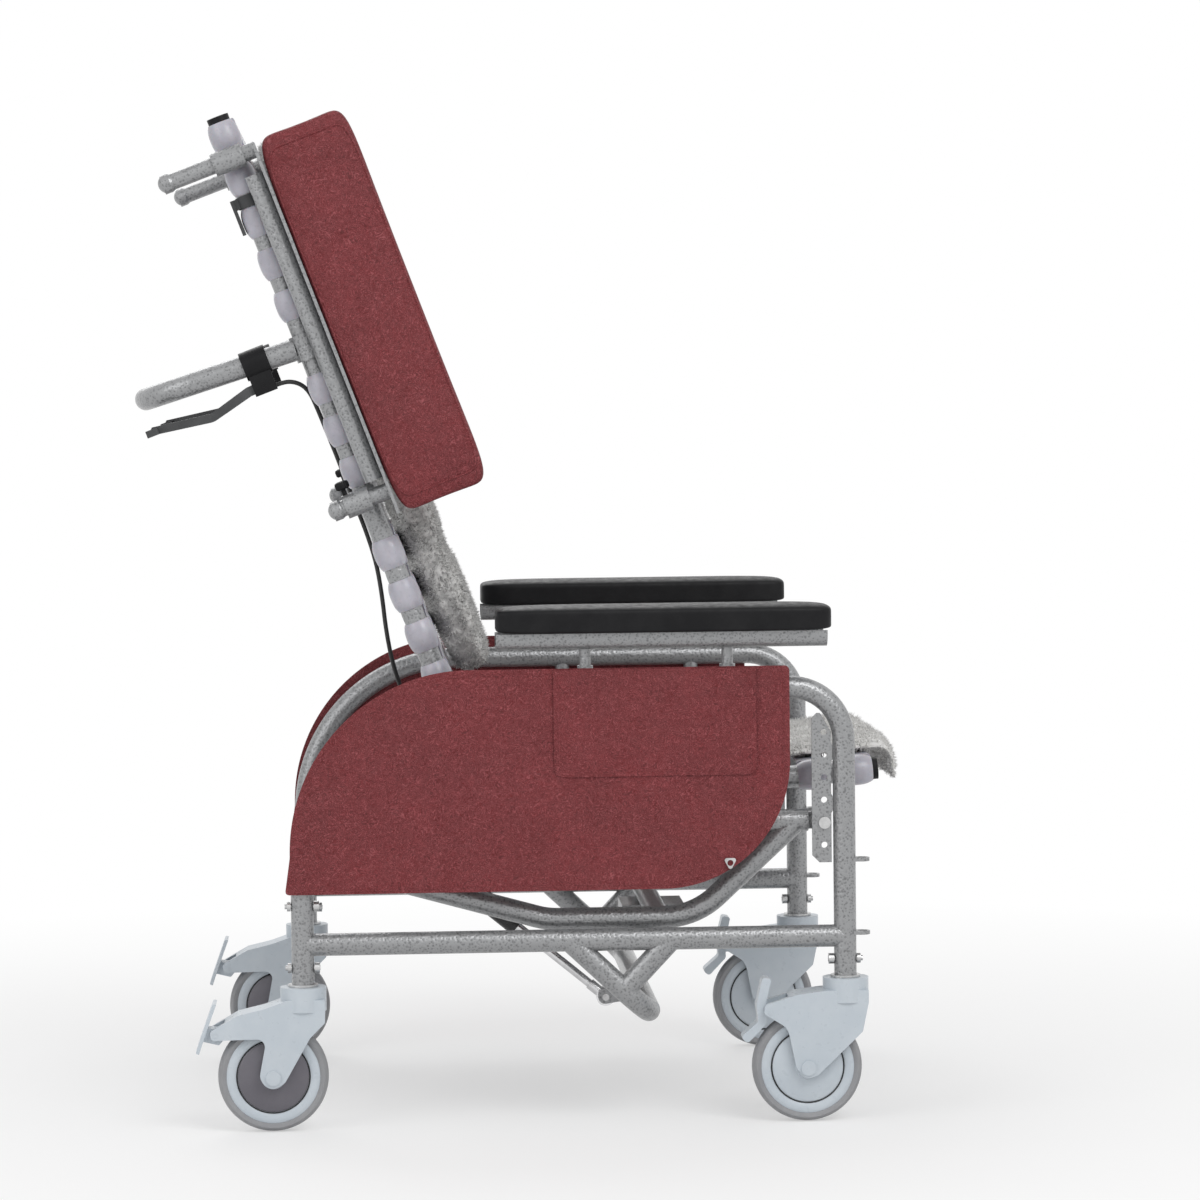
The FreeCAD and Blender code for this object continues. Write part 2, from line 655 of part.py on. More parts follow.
# Caster stems: a plug in the leg, a flange under it and the swivel spindle
def caster_stem(label, x, y):
    """One stem, drilled for its cross bolt."""
    plug = rod(label + "_plug", bore_r, as_size(40.0), x, y, d.leg_foot)
    flange = rod(label + "_flange", as_size(17.0), as_size(2.5), x, y, d.leg_foot - 2.5)
    spindle = rod(label + "_spindle", d.spindle_wide / 2, as_size(35.0), x, y, d.leg_foot - 35.0)
    hole = rod(label + "_hole", stem_bolt_r, d.frame_tube * 2, x - d.frame_tube, y, stem_bolt_z,
               ALONG_X)
    return cut(label, join(label + "_turned", [plug, flange, spindle]), hole)


stems = []
for name, side in SIDES:
    stems.append(caster_stem(f"stem_rear_{name}", -d.rear_leg, d.side_out * side))
    stems.append(caster_stem(f"stem_front_{name}", d.front_leg, d.side_out * side))
on_base(group("stems", stems), "caster_stems")

# Side panels and their pocket flaps
panel_in = d.side_out + tube_r
for name, side in SIDES:
    outline = ((-d.panel_rear - 6.0, d.panel_low), (-d.panel_rear, d.panel_low + 42.0),
               (-d.panel_rear, d.panel_top, d.panel_rear_arc), (d.panel_front, d.panel_top, 4.0),
               (d.panel_front, d.panel_low, d.panel_front_arc))
    on_base(plate(f"panel_{name}", outline, panel_in, d.panel_thick, side), f"side_panel_{name}")
flaps = []
for name, side in SIDES:
    outline = ((d.flap_rear, d.flap_low, 11.0), (d.flap_rear, d.panel_top - 1.5, 2.0),
               (d.flap_front, d.panel_top - 1.5, 2.0), (d.flap_front, d.flap_low, 11.0))
    flaps.append(plate(f"flap_{name}", outline, panel_in + d.panel_thick, d.flap_thick, side))
on_base(group("flaps", flaps), "pocket_flaps")

# Small ring plates riveted to the panels' lower front edges
rings = []
for name, side in SIDES:
    ring_x, ring_z = d.panel_front - 69.0, d.panel_low + 27.0
    rings.append(plate(f"ring_{name}", (
        (ring_x - 8.0, ring_z + 7.0, 2.5), (ring_x + 8.0, ring_z + 7.0, 2.5),
        (ring_x, ring_z - 8.0, 2.5)), panel_in + d.panel_thick, as_size(2.5), side,
        ((ring_x, ring_z + 1.5, as_size(3.4)),)))
on_base(group("rings", rings), "panel_rings")

# Arm sockets: upright tubes through the top tubes
socket_bore = d.post_wide / 2 + d.running_fit
sockets = []
for name, side in SIDES:
    for post, x in (("rear", d.post_rear), ("front", d.post_front)):
        y = d.side_out * side
        long = d.socket_top - d.socket_low
        wall = rod(f"socket_{post}_{name}_wall", d.socket_wide / 2, long, x, y, d.socket_low)
        bore = rod(f"socket_{post}_{name}_bore", socket_bore, long + 2.0, x, y, d.socket_low - 1.0)
        sockets.append(cut(f"socket_{post}_{name}", wall, bore))
on_base(group("sockets", sockets), "arm_sockets")


# Arms: channel with two posts, and the moulded pad on it
arm_seam = d.arm_low + d.channel_deep


def arm(name, side):
    """One lifting arm: frame node and pad node."""
    y = d.side_out * side
    half = d.channel_wide / 2
    channel = new_body(f"channel_{name}")
    sketch = new_sketch(channel, "YZ_Plane", f"channel_{name}_outline", d.arm_rear)
    wall = d.channel_wall
    trace(sketch, ((y - half, arm_seam), (y - half, d.arm_low, 15.0), (y + half, d.arm_low, 15.0),
                   (y + half, arm_seam), (y + half - wall, arm_seam),
                   (y + half - wall, d.arm_low + wall, 12.0),
                   (y - half + wall, d.arm_low + wall, 12.0), (y - half + wall, arm_seam)), True)
    padded(channel, sketch, d.arm_front - d.arm_rear - 5.0, f"channel_{name}_pad")
    posts = [rod(f"arm_post_{post}_{name}", d.post_wide / 2, arm_seam - d.post_low, x, y, d.post_low)
             for post, x in (("rear", d.post_rear), ("front", d.post_front))]
    on_base(join(f"arm_weld_{name}", [channel, *posts]), f"arm_frame_{name}")
    body = new_body(f"arm_pad_body_{name}")
    outline = new_sketch(body, "XY_Plane", f"arm_pad_{name}_outline", arm_seam)
    wide = d.arm_wide / 2
    trace(outline, ((d.arm_rear, y - wide, 14.0), (d.arm_front, y - wide, 22.0),
                    (d.arm_front, y + wide, 22.0), (d.arm_rear, y + wide, 14.0)), True)
    pad = padded(body, outline, d.arm_pad_deep, f"arm_pad_{name}_pad")
    doc.recompute()
    rims = []
    for number, edge in enumerate(pad.Shape.Edges, start=1):
        if edge.BoundBox.ZMin > arm_seam.value + d.arm_pad_deep.value - 0.1:
            rims.append(f"Edge{number}")
    rounded = body.newObject("PartDesign::Fillet", f"arm_pad_{name}_round")
    rounded.Base = (pad, rims)
    rounded.Radius = 9.0
    on_base(body, f"arm_pad_{name}")


for name, side in SIDES:
    arm(name, side)

# Tilt frame
slope = (d.boat_rise - d.boat_low) / (d.tilt_rear + d.boat_rear)
tail_x = -d.tilt_rear + 15.0
tail_z = d.boat_low + (d.boat_rear - tail_x) * slope
nose_x = d.boat_front + 65.0
rail_front = pivot_x - 17.0
climb = (pivot_z - d.boat_low) / (rail_front - 12.0 - d.boat_front)
nose_z = d.boat_low + (nose_x - d.boat_front) * climb
rail = ((rail_front, pivot_z), (0.0, pivot_z))
loop = ((0.0, pivot_z), (-d.tilt_rear, pivot_z, d.rear_turn),
        (-d.tilt_rear, d.boat_rise, d.rear_turn), (d.boat_rear, d.boat_low, d.boat_bend),
        (d.boat_front, d.boat_low, d.boat_bend), (rail_front - 12.0, pivot_z))
routes = []
for name, side in SIDES:
    routes.append((f"rail_{name}", "XZ_Plane", rail, d.tilt_out * side, tube_r))
    routes.append((f"loop_{name}", "XZ_Plane", loop, d.tilt_out * side, tube_r))


def level_route(label, x, z, half, radius):
    """A straight tube along Y as a route on the XY plane."""
    return (label, "XY_Plane", ((x, -half), (x, half)), z, radius)


routes.append(level_route("tail", tail_x, tail_z, d.tilt_out, tube_r))
routes.append(level_route("belly", d.boat_front - 40.0, d.boat_low, d.tilt_out, tube_r))
routes.append(level_route("nose", nose_x, nose_z, d.tilt_out, tube_r))
fittings = []
lugs = []
for name, side in SIDES:
    lugs.append(plate(f"tilt_lug_{name}", (
        (rail_front - 6.0, pivot_z - 9.5), (pivot_x + 9.5, pivot_z - 9.5, 9.4),
        (pivot_x + 9.5, pivot_z + 9.5, 9.4), (rail_front - 6.0, pivot_z + 9.5)),
        d.tilt_out - d.tilt_lug / 2, d.tilt_lug, side))
    lugs.append(rod(f"tilt_end_{name}", tube_r - 0.4, as_size(6.0), rail_front - 5.0,
                    d.tilt_out * side, pivot_z, ALONG_X))
    fittings.append(plate(f"rock_post_{name}", (
        (rock_x - 22.0, pivot_z), (rock_x + 22.0, pivot_z), (rock_x + 13.0, rock_z + 13.0, 12.5),
        (rock_x - 13.0, rock_z + 13.0, 12.5)), d.tilt_out - tube_r + 1.2, d.lug_thick + 0.5, side))
head_x = tail_x + 8.0
head_z = tail_z + 20.0 + tube_r
for part, inner in (("near", -d.spring_out - 8.0 - d.lug_thick), ("far", -d.spring_out + 8.0)):
    ear = slab(f"spring_head_{part}", (
        (head_x - 14.0, tail_z), (head_x + 12.0, tail_z), (head_x + 8.0, head_z + 8.0, 7.5),
        (head_x - 8.0, head_z + 8.0, 7.5)), d.lug_thick / 2)
    fittings.append(place(ear, 0.0, inner + d.lug_thick / 2, 0.0))
fittings.append(block("cable_block", d.boat_front - 70.0, -45.0, d.boat_low - tube_r - 17.0,
                      as_size(74.0), as_size(90.0), as_size(18.0)))
tilt_tubes = join("tilt_lugged", [hollow_tubes("tilt", routes, fittings), *lugs])
tilt_bores = []
for name, side in SIDES:
    y = d.tilt_out * side
    tilt_bores.append(pin(f"tilt_bore_{name}", bolt_r, pivot_x, pivot_z, y, d.tilt_lug * 2))
    tilt_bores.append(pin(f"rock_bore_{name}", bolt_r, rock_x, rock_z, y, d.frame_tube * 2))
tilt_bores.append(pin("spring_head_bore", bolt_r, head_x, head_z, -d.spring_out, as_size(40.0)))
head_pin = pin("head_pin", bolt_r, head_x, head_z, -d.spring_out, as_size(27.0))
tilt_bored = cut("tilt_bored", tilt_tubes, join("tilt_bores", tilt_bores))
on_base(group("tilt_set", [tilt_bored, head_pin]), "tilt_frame")


# Seat, drawn along the seat tube from the recline hinge
def strap_places(first, last, skipped):
    """Strap centres along the tube, leaving out the places of fittings."""
    return [number for number in range(first, last + 1) if number not in skipped]


def straps(label, along, places, base):
    """Bands over two side tubes, each with a sleeve round either tube.

    along is "X" for the seat and "Z" for the back; base is the centre of place 0.
    """
    pieces = []
    for number in places:
        low = base + d.strap_pitch * number - d.strap_wide / 2
        wide = d.seat_out * 2
        if along == "X":
            band = block(f"{label}_band_{number}", low, -d.seat_out, tube_r, d.strap_wide, wide,
                         d.strap_thick)
        else:
            band = block(f"{label}_band_{number}", tube_r, -d.seat_out, low, d.strap_thick, wide,
                         d.strap_wide)
        parts = [band]
        for name, side in SIDES:
            y = d.seat_out * side
            if along == "X":
                sleeve = rod(f"{label}_sleeve_{name}_{number}", strap_r, d.strap_wide, low, y, 0.0,
                             ALONG_X)
            else:
                sleeve = rod(f"{label}_sleeve_{name}_{number}", strap_r, d.strap_wide, 0.0, y, low)
            parts.append(sleeve)
        pieces.append(join(f"{label}_{number}", parts))
    tools = []
    for name, side in SIDES:
        y = d.seat_out * side
        if along == "X":
            tools.append(rod(f"{label}_tube_{name}", tube_r, d.seat_long * 2, 0.0, y, 0.0, ALONG_X))
        else:
            tools.append(rod(f"{label}_tube_{name}", tube_r, d.back_long * 2, 0.0, y, 0.0))
    return cut(label + "_wound", group(label + "_all", pieces), join(label + "_tubes", tools))


rear_cross = as_size(32.0)
front_cross = d.rock_ahead + d.strap_pitch * 3
seat_routes = []
seat_fittings = []
lug_top = d.rock_above + 13.0
for name, side in SIDES:
    lift = d.seat_out * side
    seat_routes.append((f"tube_{name}", "XZ_Plane", ((16.0, 0.0), (d.seat_long, 0.0)), lift, tube_r))
    seat_fittings.append(plate(f"seat_lug_{name}", (
        (d.rock_ahead - 7.0, 0.0), (d.rock_ahead + 7.0, 0.0), (d.rock_ahead + 7.0, 17.5),
        (d.rock_ahead + 13.0, 21.0), (d.rock_ahead + 13.0, lug_top, 12.5),
        (d.rock_ahead - 13.0, lug_top, 12.5), (d.rock_ahead - 13.0, 21.0),
        (d.rock_ahead - 7.0, 17.5)), d.seat_out + tube_r - 3.0,
        d.tilt_out - d.seat_out - tube_r * 2 + 1.2 + 3.0 - 1.0, side))
    seat_fittings.append(plate(f"seat_hinge_{name}", (
        (-12.5, -12.5, 12.0), (30.0, -12.5), (30.0, 12.5), (-12.5, 12.5, 12.0)),
        d.seat_out - 6.5, d.lug_thick + 1.0, side))
seat_routes.append(level_route("rear_cross", rear_cross, 0.0, d.seat_out, slim_r))
seat_routes.append(level_route("front_cross", front_cross, 0.0, d.seat_out, slim_r))
anchor_t = -slim_r - 14.5
for part, inner in (("near", d.spring_out - 8.0 - d.lug_thick), ("far", d.spring_out + 8.0)):
    ear = slab(f"recline_anchor_{part}", (
        (front_cross - 9.0, anchor_t - 9.0, 8.0), (front_cross + 9.0, anchor_t - 9.0, 8.0),
        (front_cross + 9.0, 0.0), (front_cross - 9.0, 0.0)), d.lug_thick / 2)
    seat_fittings.append(place(ear, 0.0, inner + d.lug_thick / 2, 0.0))
seat_tubes = hollow_tubes("seat", seat_routes, seat_fittings)
seat_bores = [pin("anchor_bore", bolt_r, front_cross, anchor_t, d.spring_out, as_size(40.0))]
for name, side in SIDES:
    y = d.seat_out * side
    seat_bores.append(pin(f"seat_rock_bore_{name}", bolt_r, d.rock_ahead, d.rock_above,
                          (d.seat_out + tube_r) * side, as_size(30.0)))
    seat_bores.append(pin(f"seat_hinge_bore_{name}", bolt_r, as_size(0.0), as_size(0.0), y,
                          as_size(30.0)))
on_seat(cut("seat_bored", seat_tubes, join("seat_bores", seat_bores)), "seat_frame")
seat_places = strap_places(-2, 5, (0, 3))
on_seat(straps("seat_strap", "X", seat_places, d.rock_ahead), "seat_straps")
plugs = []
for name, side in SIDES:
    y = d.seat_out * side
    plugs.append(join(f"seat_plug_{name}", [
        rod(f"seat_plug_cap_{name}", tube_r, d.plug_long, d.seat_long, y, 0.0, ALONG_X),
        rod(f"seat_plug_core_{name}", bore_r, as_size(16.0), d.seat_long - 15.0, y, 0.0, ALONG_X)]))
on_seat(group("seat_plug_pair", plugs), "seat_plugs")


# Pivot bolts of the seat: rocking bolts, recline bolts and the recline spring's pin
def pivot_bolt(label, x, z, low, high, side, head_in):
    """Bolt across two lugs between two distances from the middle, head inside or outside."""
    shank = pin(label + "_shank", bolt_r - d.running_fit, x, z, (low + high) / 2 * side, high - low)
    ends = []
    for part, edge in (("in", low), ("out", high)):
        long = as_size(4.0)
        centre = edge + (-2.0 if part == "in" else 2.0)
        radius = bolt_r * 1.75 if (part == "in") == head_in else bolt_r * 1.6
        ends.append(pin(f"{label}_{part}", radius, x, z, centre * side, long))
    return join(label, [shank, *ends])


pivots = []
for name, side in SIDES:
    pivots.append(pivot_bolt(f"rock_bolt_{name}", d.rock_ahead, d.rock_above,
                             d.seat_out + tube_r - 3.0 - d.air,
                             d.tilt_out - tube_r + 1.2 + d.lug_thick + 0.5 + d.air, side, True))
    pivots.append(pivot_bolt(f"recline_bolt_{name}", as_size(0.0), as_size(0.0),
                             d.seat_out - 6.5 - d.air, d.seat_out + 6.5 + d.air, side, True))
pivots.append(pin("anchor_pin", bolt_r - d.running_fit, front_cross, anchor_t, d.spring_out,
                  as_size(27.0)))
on_seat(group("seat_pivots", pivots), "seat_pivot_bolts")


# Crowned pads: lofts through lines and arcs
def wire_of(points, bulges):
    """Closed wire through points; a bulge turns its run into an arc through a middle point."""
    edges = []
    for index, start in enumerate(points):
        end = points[(index + 1) % len(points)]
        middle = bulges.get(index)
        if middle is None:
            edges.append(Part.makeLine(start, end))
        else:
            edges.append(Part.Arc(start, middle, end).toShape())
    return Part.Wire(edges)


def seat_pad_section(y, thick):
    """Section of the seat pad: flat underneath, over the front edge and down."""
    low = strap_r.value + 0.3
    front = d.seat_long.value + d.plug_long.value + 1.0
    bend = 14.0
    rear = 26.0
    drop = -20.0
    half = math.sqrt(0.5)
    out = bend + thick
    points = [Vector(rear, y, low), Vector(front, y, low), Vector(front + bend, y, low - bend),
              Vector(front + bend, y, drop), Vector(front + out, y, drop),
              Vector(front + out, y, low - bend), Vector(front, y, low + thick),
              Vector(rear, y, low + thick)]
    bulges = {1: Vector(front + bend * half, y, low - bend + bend * half),
              5: Vector(front + out * half, y, low - bend + out * half)}
    return wire_of(points, bulges)


def crown(fraction, middle, edge):
    """Thickness across a pad, from its middle to its edge, as an ellipse quarter."""
    return edge + (middle - edge) * math.sqrt(max(0.0, 1.0 - fraction ** 2))


seat_pad = doc.addObject("Part::Feature", "seat_pad_loft")
stations = (-1.0, -0.92, -0.7, -0.35, 0.0, 0.35, 0.7, 0.92, 1.0)
seat_pad.Shape = Part.makeLoft(
    [seat_pad_section(d.seat_pad_half.value * f, crown(f, d.seat_pad_thick.value, 6.0))
     for f in stations], True, False)
on_seat(seat_pad, "seat_pad")


def cushion_section(level, rear, deep, centre, half, crown_front, crown_back):
    """Rounded section of an upright cushion at one height, crowned front and back."""
    soft = min(deep, half) * 0.35
    low, high = centre - half, centre + half
    back, front = rear, rear + deep
    turn = soft * (1 - math.sqrt(0.5))
    points = [Vector(back, low + soft, level), Vector(back + soft, low, level),
              Vector(front - soft, low, level), Vector(front, low + soft, level),
              Vector(front, high - soft, level), Vector(front - soft, high, level),
              Vector(back + soft, high, level), Vector(back, high - soft, level)]
    bulges = {0: Vector(back + turn, low + turn, level), 2: Vector(front - turn, low + turn, level),
              3: Vector(front + crown_front, centre, level),
              4: Vector(front - turn, high - turn, level), 6: Vector(back + turn, high - turn, level)}
    if crown_back:
        bulges[7] = Vector(back - crown_back, centre, level)
    return wire_of(points, bulges)


back_pad = doc.addObject("Part::Feature", "back_pad_loft")
pad_rear = strap_r.value + 0.3
sections = []
for step in (0.0, 0.03, 0.1, 0.3, 0.5, 0.7, 0.9, 0.97, 1.0):
    level = d.back_pad_low.value + (d.back_pad_top.value - d.back_pad_low.value) * step
    fraction = abs(2 * step - 1)
    deep = crown(fraction ** 3, d.back_pad_thick.value - 8.0, 22.0)
    half = d.back_pad_half.value - 10.0 * fraction ** 8
    sections.append(cushion_section(level, pad_rear, deep, 0.0, half, 8.0, 0.0))
back_pad.Shape = Part.makeLoft(sections, True, False)
on_back(back_pad, "back_pad")

# Back frame, drawn up the back tube from the recline hinge
upper_cross = d.strap_pitch * 3 + 212.3
back_routes = []
back_fittings = []
for name, side in SIDES:
    lift = d.seat_out * side
    back_routes.append((f"cane_{name}", "XZ_Plane", ((0.0, 20.0), (0.0, d.back_long)), lift, tube_r))
    back_fittings.append(plate(f"back_hinge_{name}", (
        (-12.5, -12.5, 12.0), (12.5, -12.5, 12.0), (12.5, 44.0), (-12.5, 44.0)),
        d.seat_out + 0.5, d.lug_thick + 1.0, side))
lower_cross = as_size(52.0)
for label, v in (("lower_cross", lower_cross), ("middle_cross", upper_cross), ("bar_cross", d.bar_high)):
    back_routes.append(level_route(label, 0.0, v, d.seat_out, slim_r))
arm_u = as_size(-9.0)
arm_v = as_size(-75.0)
for part, inner in (("near", d.spring_out - 8.0 - d.lug_thick), ("far", d.spring_out + 8.0)):
    ear = slab(f"recline_arm_{part}", (
        (arm_u - 11.0, arm_v - 11.0, 10.5), (arm_u + 11.0, arm_v - 11.0, 10.5),
        (6.0, lower_cross), (-9.0, lower_cross)), d.lug_thick / 2)
    back_fittings.append(place(ear, 0.0, inner + d.lug_thick / 2, 0.0))
back_tubes = hollow_tubes("back", back_routes, back_fittings)
back_bores = [pin("recline_arm_bore", bolt_r, arm_u, arm_v, d.spring_out, as_size(40.0))]
for name, side in SIDES:
    back_bores.append(pin(f"back_hinge_bore_{name}", bolt_r, as_size(0.0), as_size(0.0),
                          d.seat_out * side, as_size(40.0)))
arm_pin = pin("arm_pin", bolt_r, arm_u, arm_v, d.spring_out, as_size(27.0))
back_bored = cut("back_bored", back_tubes, join("back_bores", back_bores))
on_back(group("back_set", [back_bored, arm_pin]), "back_frame")
back_places = strap_places(-2, 12, (3, 7))
on_back(straps("back_strap", "Z", back_places, as_size(212.3)), "back_straps")
plugs = []
for name, side in SIDES:
    y = d.seat_out * side
    plugs.append(join(f"back_plug_{name}", [
        rod(f"back_plug_cap_{name}", tube_r, d.plug_long + 2.0, 0.0, y, d.back_long),
        rod(f"back_plug_core_{name}", bore_r, as_size(16.0), 0.0, y, d.back_long - 15.0)]))
on_back(group("back_plug_pair", plugs), "back_plugs")

# Dark band with its buckle plate, round the right back tube above the tenth strap
band_v = d.strap_pitch * 10 + 212.3 + d.strap_wide / 2 + 0.6
buckle_y = -d.seat_out
buckle = join("buckle_parts", [
    rod("buckle_band", tube_r + 2.6, as_size(14.0), 0.0, buckle_y, band_v),
    block("buckle_clip", as_size(-22.0), buckle_y - 8.0, band_v + 1.0, as_size(12.0), as_size(16.0),
          as_size(12.0)),
    block("buckle_plate", as_size(-22.0), buckle_y - 9.0, band_v - 28.0, as_size(4.0), as_size(18.0),
          as_size(41.0))])
on_back(cut("buckle_cut", buckle, rod("buckle_core", tube_r, as_size(34.0), 0.0, buckle_y, band_v - 10.0)),
        "strap_buckle")

# Push bar: a U behind the back, clamped round both back tubes
clamp_r = tube_r + 4.5
bar_tube = new_body("bar_tube")
bar_bore = new_body("bar_bore")
bar_shape = ((-tube_r - 1.5, -d.seat_out), (-d.bar_reach, -d.seat_out, d.bar_bend),
             (-d.bar_reach, d.seat_out, d.bar_bend), (-tube_r - 1.5, d.seat_out))
for body, radius in ((bar_tube, tube_r), (bar_bore, bore_r)):
    pipe(body, "XY_Plane", bar_shape, radius, body.Name + "_pipe")
    place(body, 0.0, 0.0, d.bar_high, Rotation(Vector(0, 1, 0), d.bar_lift.value))
    bind(body, "Placement.Rotation.Angle", d.bar_lift)
clamps = []
cores = [bar_bore]
for name, side in SIDES:
    y = d.seat_out * side
    clamps.append(rod(f"bar_clamp_{name}", clamp_r, as_size(30.0), 0.0, y, d.bar_high - 15.0))
    cores.append(rod(f"bar_core_{name}", tube_r, as_size(60.0), 0.0, y, d.bar_high - 30.0))
    cores.append(pin(f"bar_gap_{name}", slim_r, as_size(0.0), d.bar_high, 0.0, d.seat_out * 2))
on_back(cut("bar_cut", join("bar_weld", [bar_tube, *clamps]), join("bar_cores", cores[:2] + cores[3:])),
        "push_bar")

# Wing sleeves: a clamp round the back tube and a sleeve for the wing tube
sleeve_r = slim_r + 4.0
sleeves = []
for name, side in SIDES:
    for level, v, high, tail, long in (("upper", d.wing_tube_high, 14.5, -24.0, 36.0),
                                       ("lower", d.wing_tube_low, 19.0, -27.0, 30.4)):
        label = f"sleeve_{level}_{name}"
        y = d.seat_out * side
        clamp = rod(label + "_clamp", clamp_r, as_size(high), 0.0, y, v - 6.0)
        barrel = rod(label + "_barrel", sleeve_r, as_size(long), tail, d.wing_out * side, v, ALONG_X)
        span = d.wing_out - d.seat_out - tube_r - 6.0
        low = (d.seat_out + tube_r + 1.0) if side > 0 else -(d.seat_out + tube_r + 1.0 + span)
        neck = block(label + "_neck", as_size(-9.0), low, v - 6.0, as_size(18.0), span,
                     as_size(min(high, 16.0)))
        solid = join(label + "_solid", [clamp, barrel, neck])
        tools = [rod(label + "_cane", tube_r, as_size(60.0), 0.0, y, v - 30.0),
                 rod(label + "_bore", slim_r + d.running_fit, as_size(60.0), -40.0, d.wing_out * side,
                     v, ALONG_X)]
        if level == "lower":
            tools.append(pin(label + "_relief", slim_r, as_size(0.0), upper_cross, 0.0, d.seat_out * 2))
        sleeves.append(cut(label, solid, join(label + "_tools", tools)))
on_back(group("sleeves", sleeves), "wing_sleeves")
knobs = []
for name, side in SIDES:
    base = d.wing_tube_low + sleeve_r
    y = d.wing_out * side
    stem = rod(f"knob_stem_{name}", as_size(3.0), as_size(10.0), as_size(-22.0), y, base)
    head = rod(f"knob_head_{name}", as_size(8.0), as_size(10.0), as_size(-22.0), y, base + 6.0)
    knobs.append(join(f"knob_{name}", [stem, head]))
on_back(group("knobs", knobs), "wing_knobs")


# Wings: slide tubes with domed ends, an upright tube, a board and the padded wing
def wing(name, side):
    """One sliding wing: frame node and pad node."""
    y = d.wing_out * side
    cap_r = slim_r + 1.6
    parts = []
    for level, v, tail in (("upper", d.wing_tube_high, -90.0), ("lower", d.wing_tube_low, -47.0)):
        label = f"wing_{level}_{name}"
        parts.append(rod(label + "_tube", slim_r, d.wing_rear - tail - 11.0, tail + 10.0, y, v, ALONG_X))
        parts.append(rod(label + "_cap", cap_r, as_size(9.0), tail + 5.0, y, v, ALONG_X))
        dome = doc.addObject("Part::Sphere", label + "_dome")
        dome.Radius = cap_r.value
        bind(dome, "Radius", cap_r)
        place(dome, tail + cap_r.value, y, v)
        parts.append(dome)
    low, high = d.wing_tube_low + 17.0, d.wing_tube_high - 26.0
    parts.append(rod(f"wing_bar_{name}", as_size(11.0), high - low, 15.0, y, low))
    board_in = d.wing_in + 4.0
    wide = d.wing_thick - 8.0
    edge = board_in if side > 0 else -(board_in + wide)
    parts.append(block(f"wing_board_{name}", d.wing_rear - 4.0, edge, d.wing_low + 4.0, as_size(3.7),
                       wide, d.wing_top - d.wing_low - 8.0))
    on_back(join(f"wing_weld_{name}", parts), f"wing_frame_{name}")
    pad = doc.addObject("Part::Feature", f"wing_pad_loft_{name}")
    centre = (d.wing_in.value + d.wing_thick.value / 2) * side
    deep = d.wing_front.value - d.wing_rear.value
    rings = []
    for step in (0.0, 0.02, 0.08, 0.3, 0.5, 0.7, 0.92, 0.98, 1.0):
        level = d.wing_low.value + (d.wing_top.value - d.wing_low.value) * step
        fraction = abs(2 * step - 1)
        half = d.wing_thick.value / 2 - 6.0 - 9.0 * fraction ** 10
        inset = 7.0 * fraction ** 14
        rings.append(wing_section(level, d.wing_rear.value, deep - inset, centre, half, 6.0))
    pad.Shape = Part.makeLoft(rings, True, False)
    on_back(pad, f"wing_pad_{name}")


def wing_section(level, rear, deep, centre, half, swell):
    """Section of a wing: boxed at the rear, crowned on both faces, rounded in front."""
    soft = half * 0.6
    low, high = centre - half, centre + half
    front = rear + deep
    turn = soft * (1 - math.sqrt(0.5))
    middle = rear + deep / 2
    points = [Vector(rear, low, level), Vector(front - soft, low, level),
              Vector(front, low + soft, level), Vector(front, high - soft, level),
              Vector(front - soft, high, level), Vector(rear, high, level)]
    bulges = {0: Vector(middle, low - swell, level), 1: Vector(front - turn, low + turn, level),
              3: Vector(front - turn, high - turn, level), 4: Vector(middle, high + swell, level)}
    return wire_of(points, bulges)


for name, side in SIDES:
    wing(name, side)

# Release levers under the push bar, one for tilt and one for recline
lever_pivot_u = as_size(-62.0)
lever_pivot_v = d.bar_high - 24.0
lever_out = d.seat_out
housings = []
for name, side in SIDES:
    y = lever_out * side
    label = f"lever_housing_{name}"
    bar_u = lever_pivot_u
    bar_v = d.bar_high - lever_pivot_u * sine(d.bar_lift)
    ring = rod(label + "_ring", tube_r + 4.0, as_size(30.0), bar_u - 15.0, y, bar_v, ALONG_X)
    drop = block(label + "_drop", bar_u - 13.0, y - 11.0, lever_pivot_v - 9.0, as_size(26.0),
                 as_size(22.0), bar_v - lever_pivot_v + 9.0)
    core = rod(label + "_core", tube_r + 0.1, as_size(60.0), bar_u - 30.0, y,
               bar_v + 1.57, Rotation(Vector(0, 1, 0), 90.0 + d.bar_lift.value))
    slot = block(label + "_slot", bar_u - 20.0, y - 6.3, lever_pivot_v - 12.0, as_size(28.0),
                 as_size(12.6), as_size(19.0))
    hole = pin(label + "_hole", as_size(2.5), lever_pivot_u, lever_pivot_v, y, as_size(40.0))
    solid = cut(label + "_cut", join(label + "_solid", [ring, drop]),
                join(label + "_tools", [core, slot, hole]))
    axle = pin(label + "_pin", as_size(2.5) - 0.03, lever_pivot_u, lever_pivot_v, y, as_size(22.0))
    housings += [solid, axle]
on_back(group("housings", housings), "lever_housings")
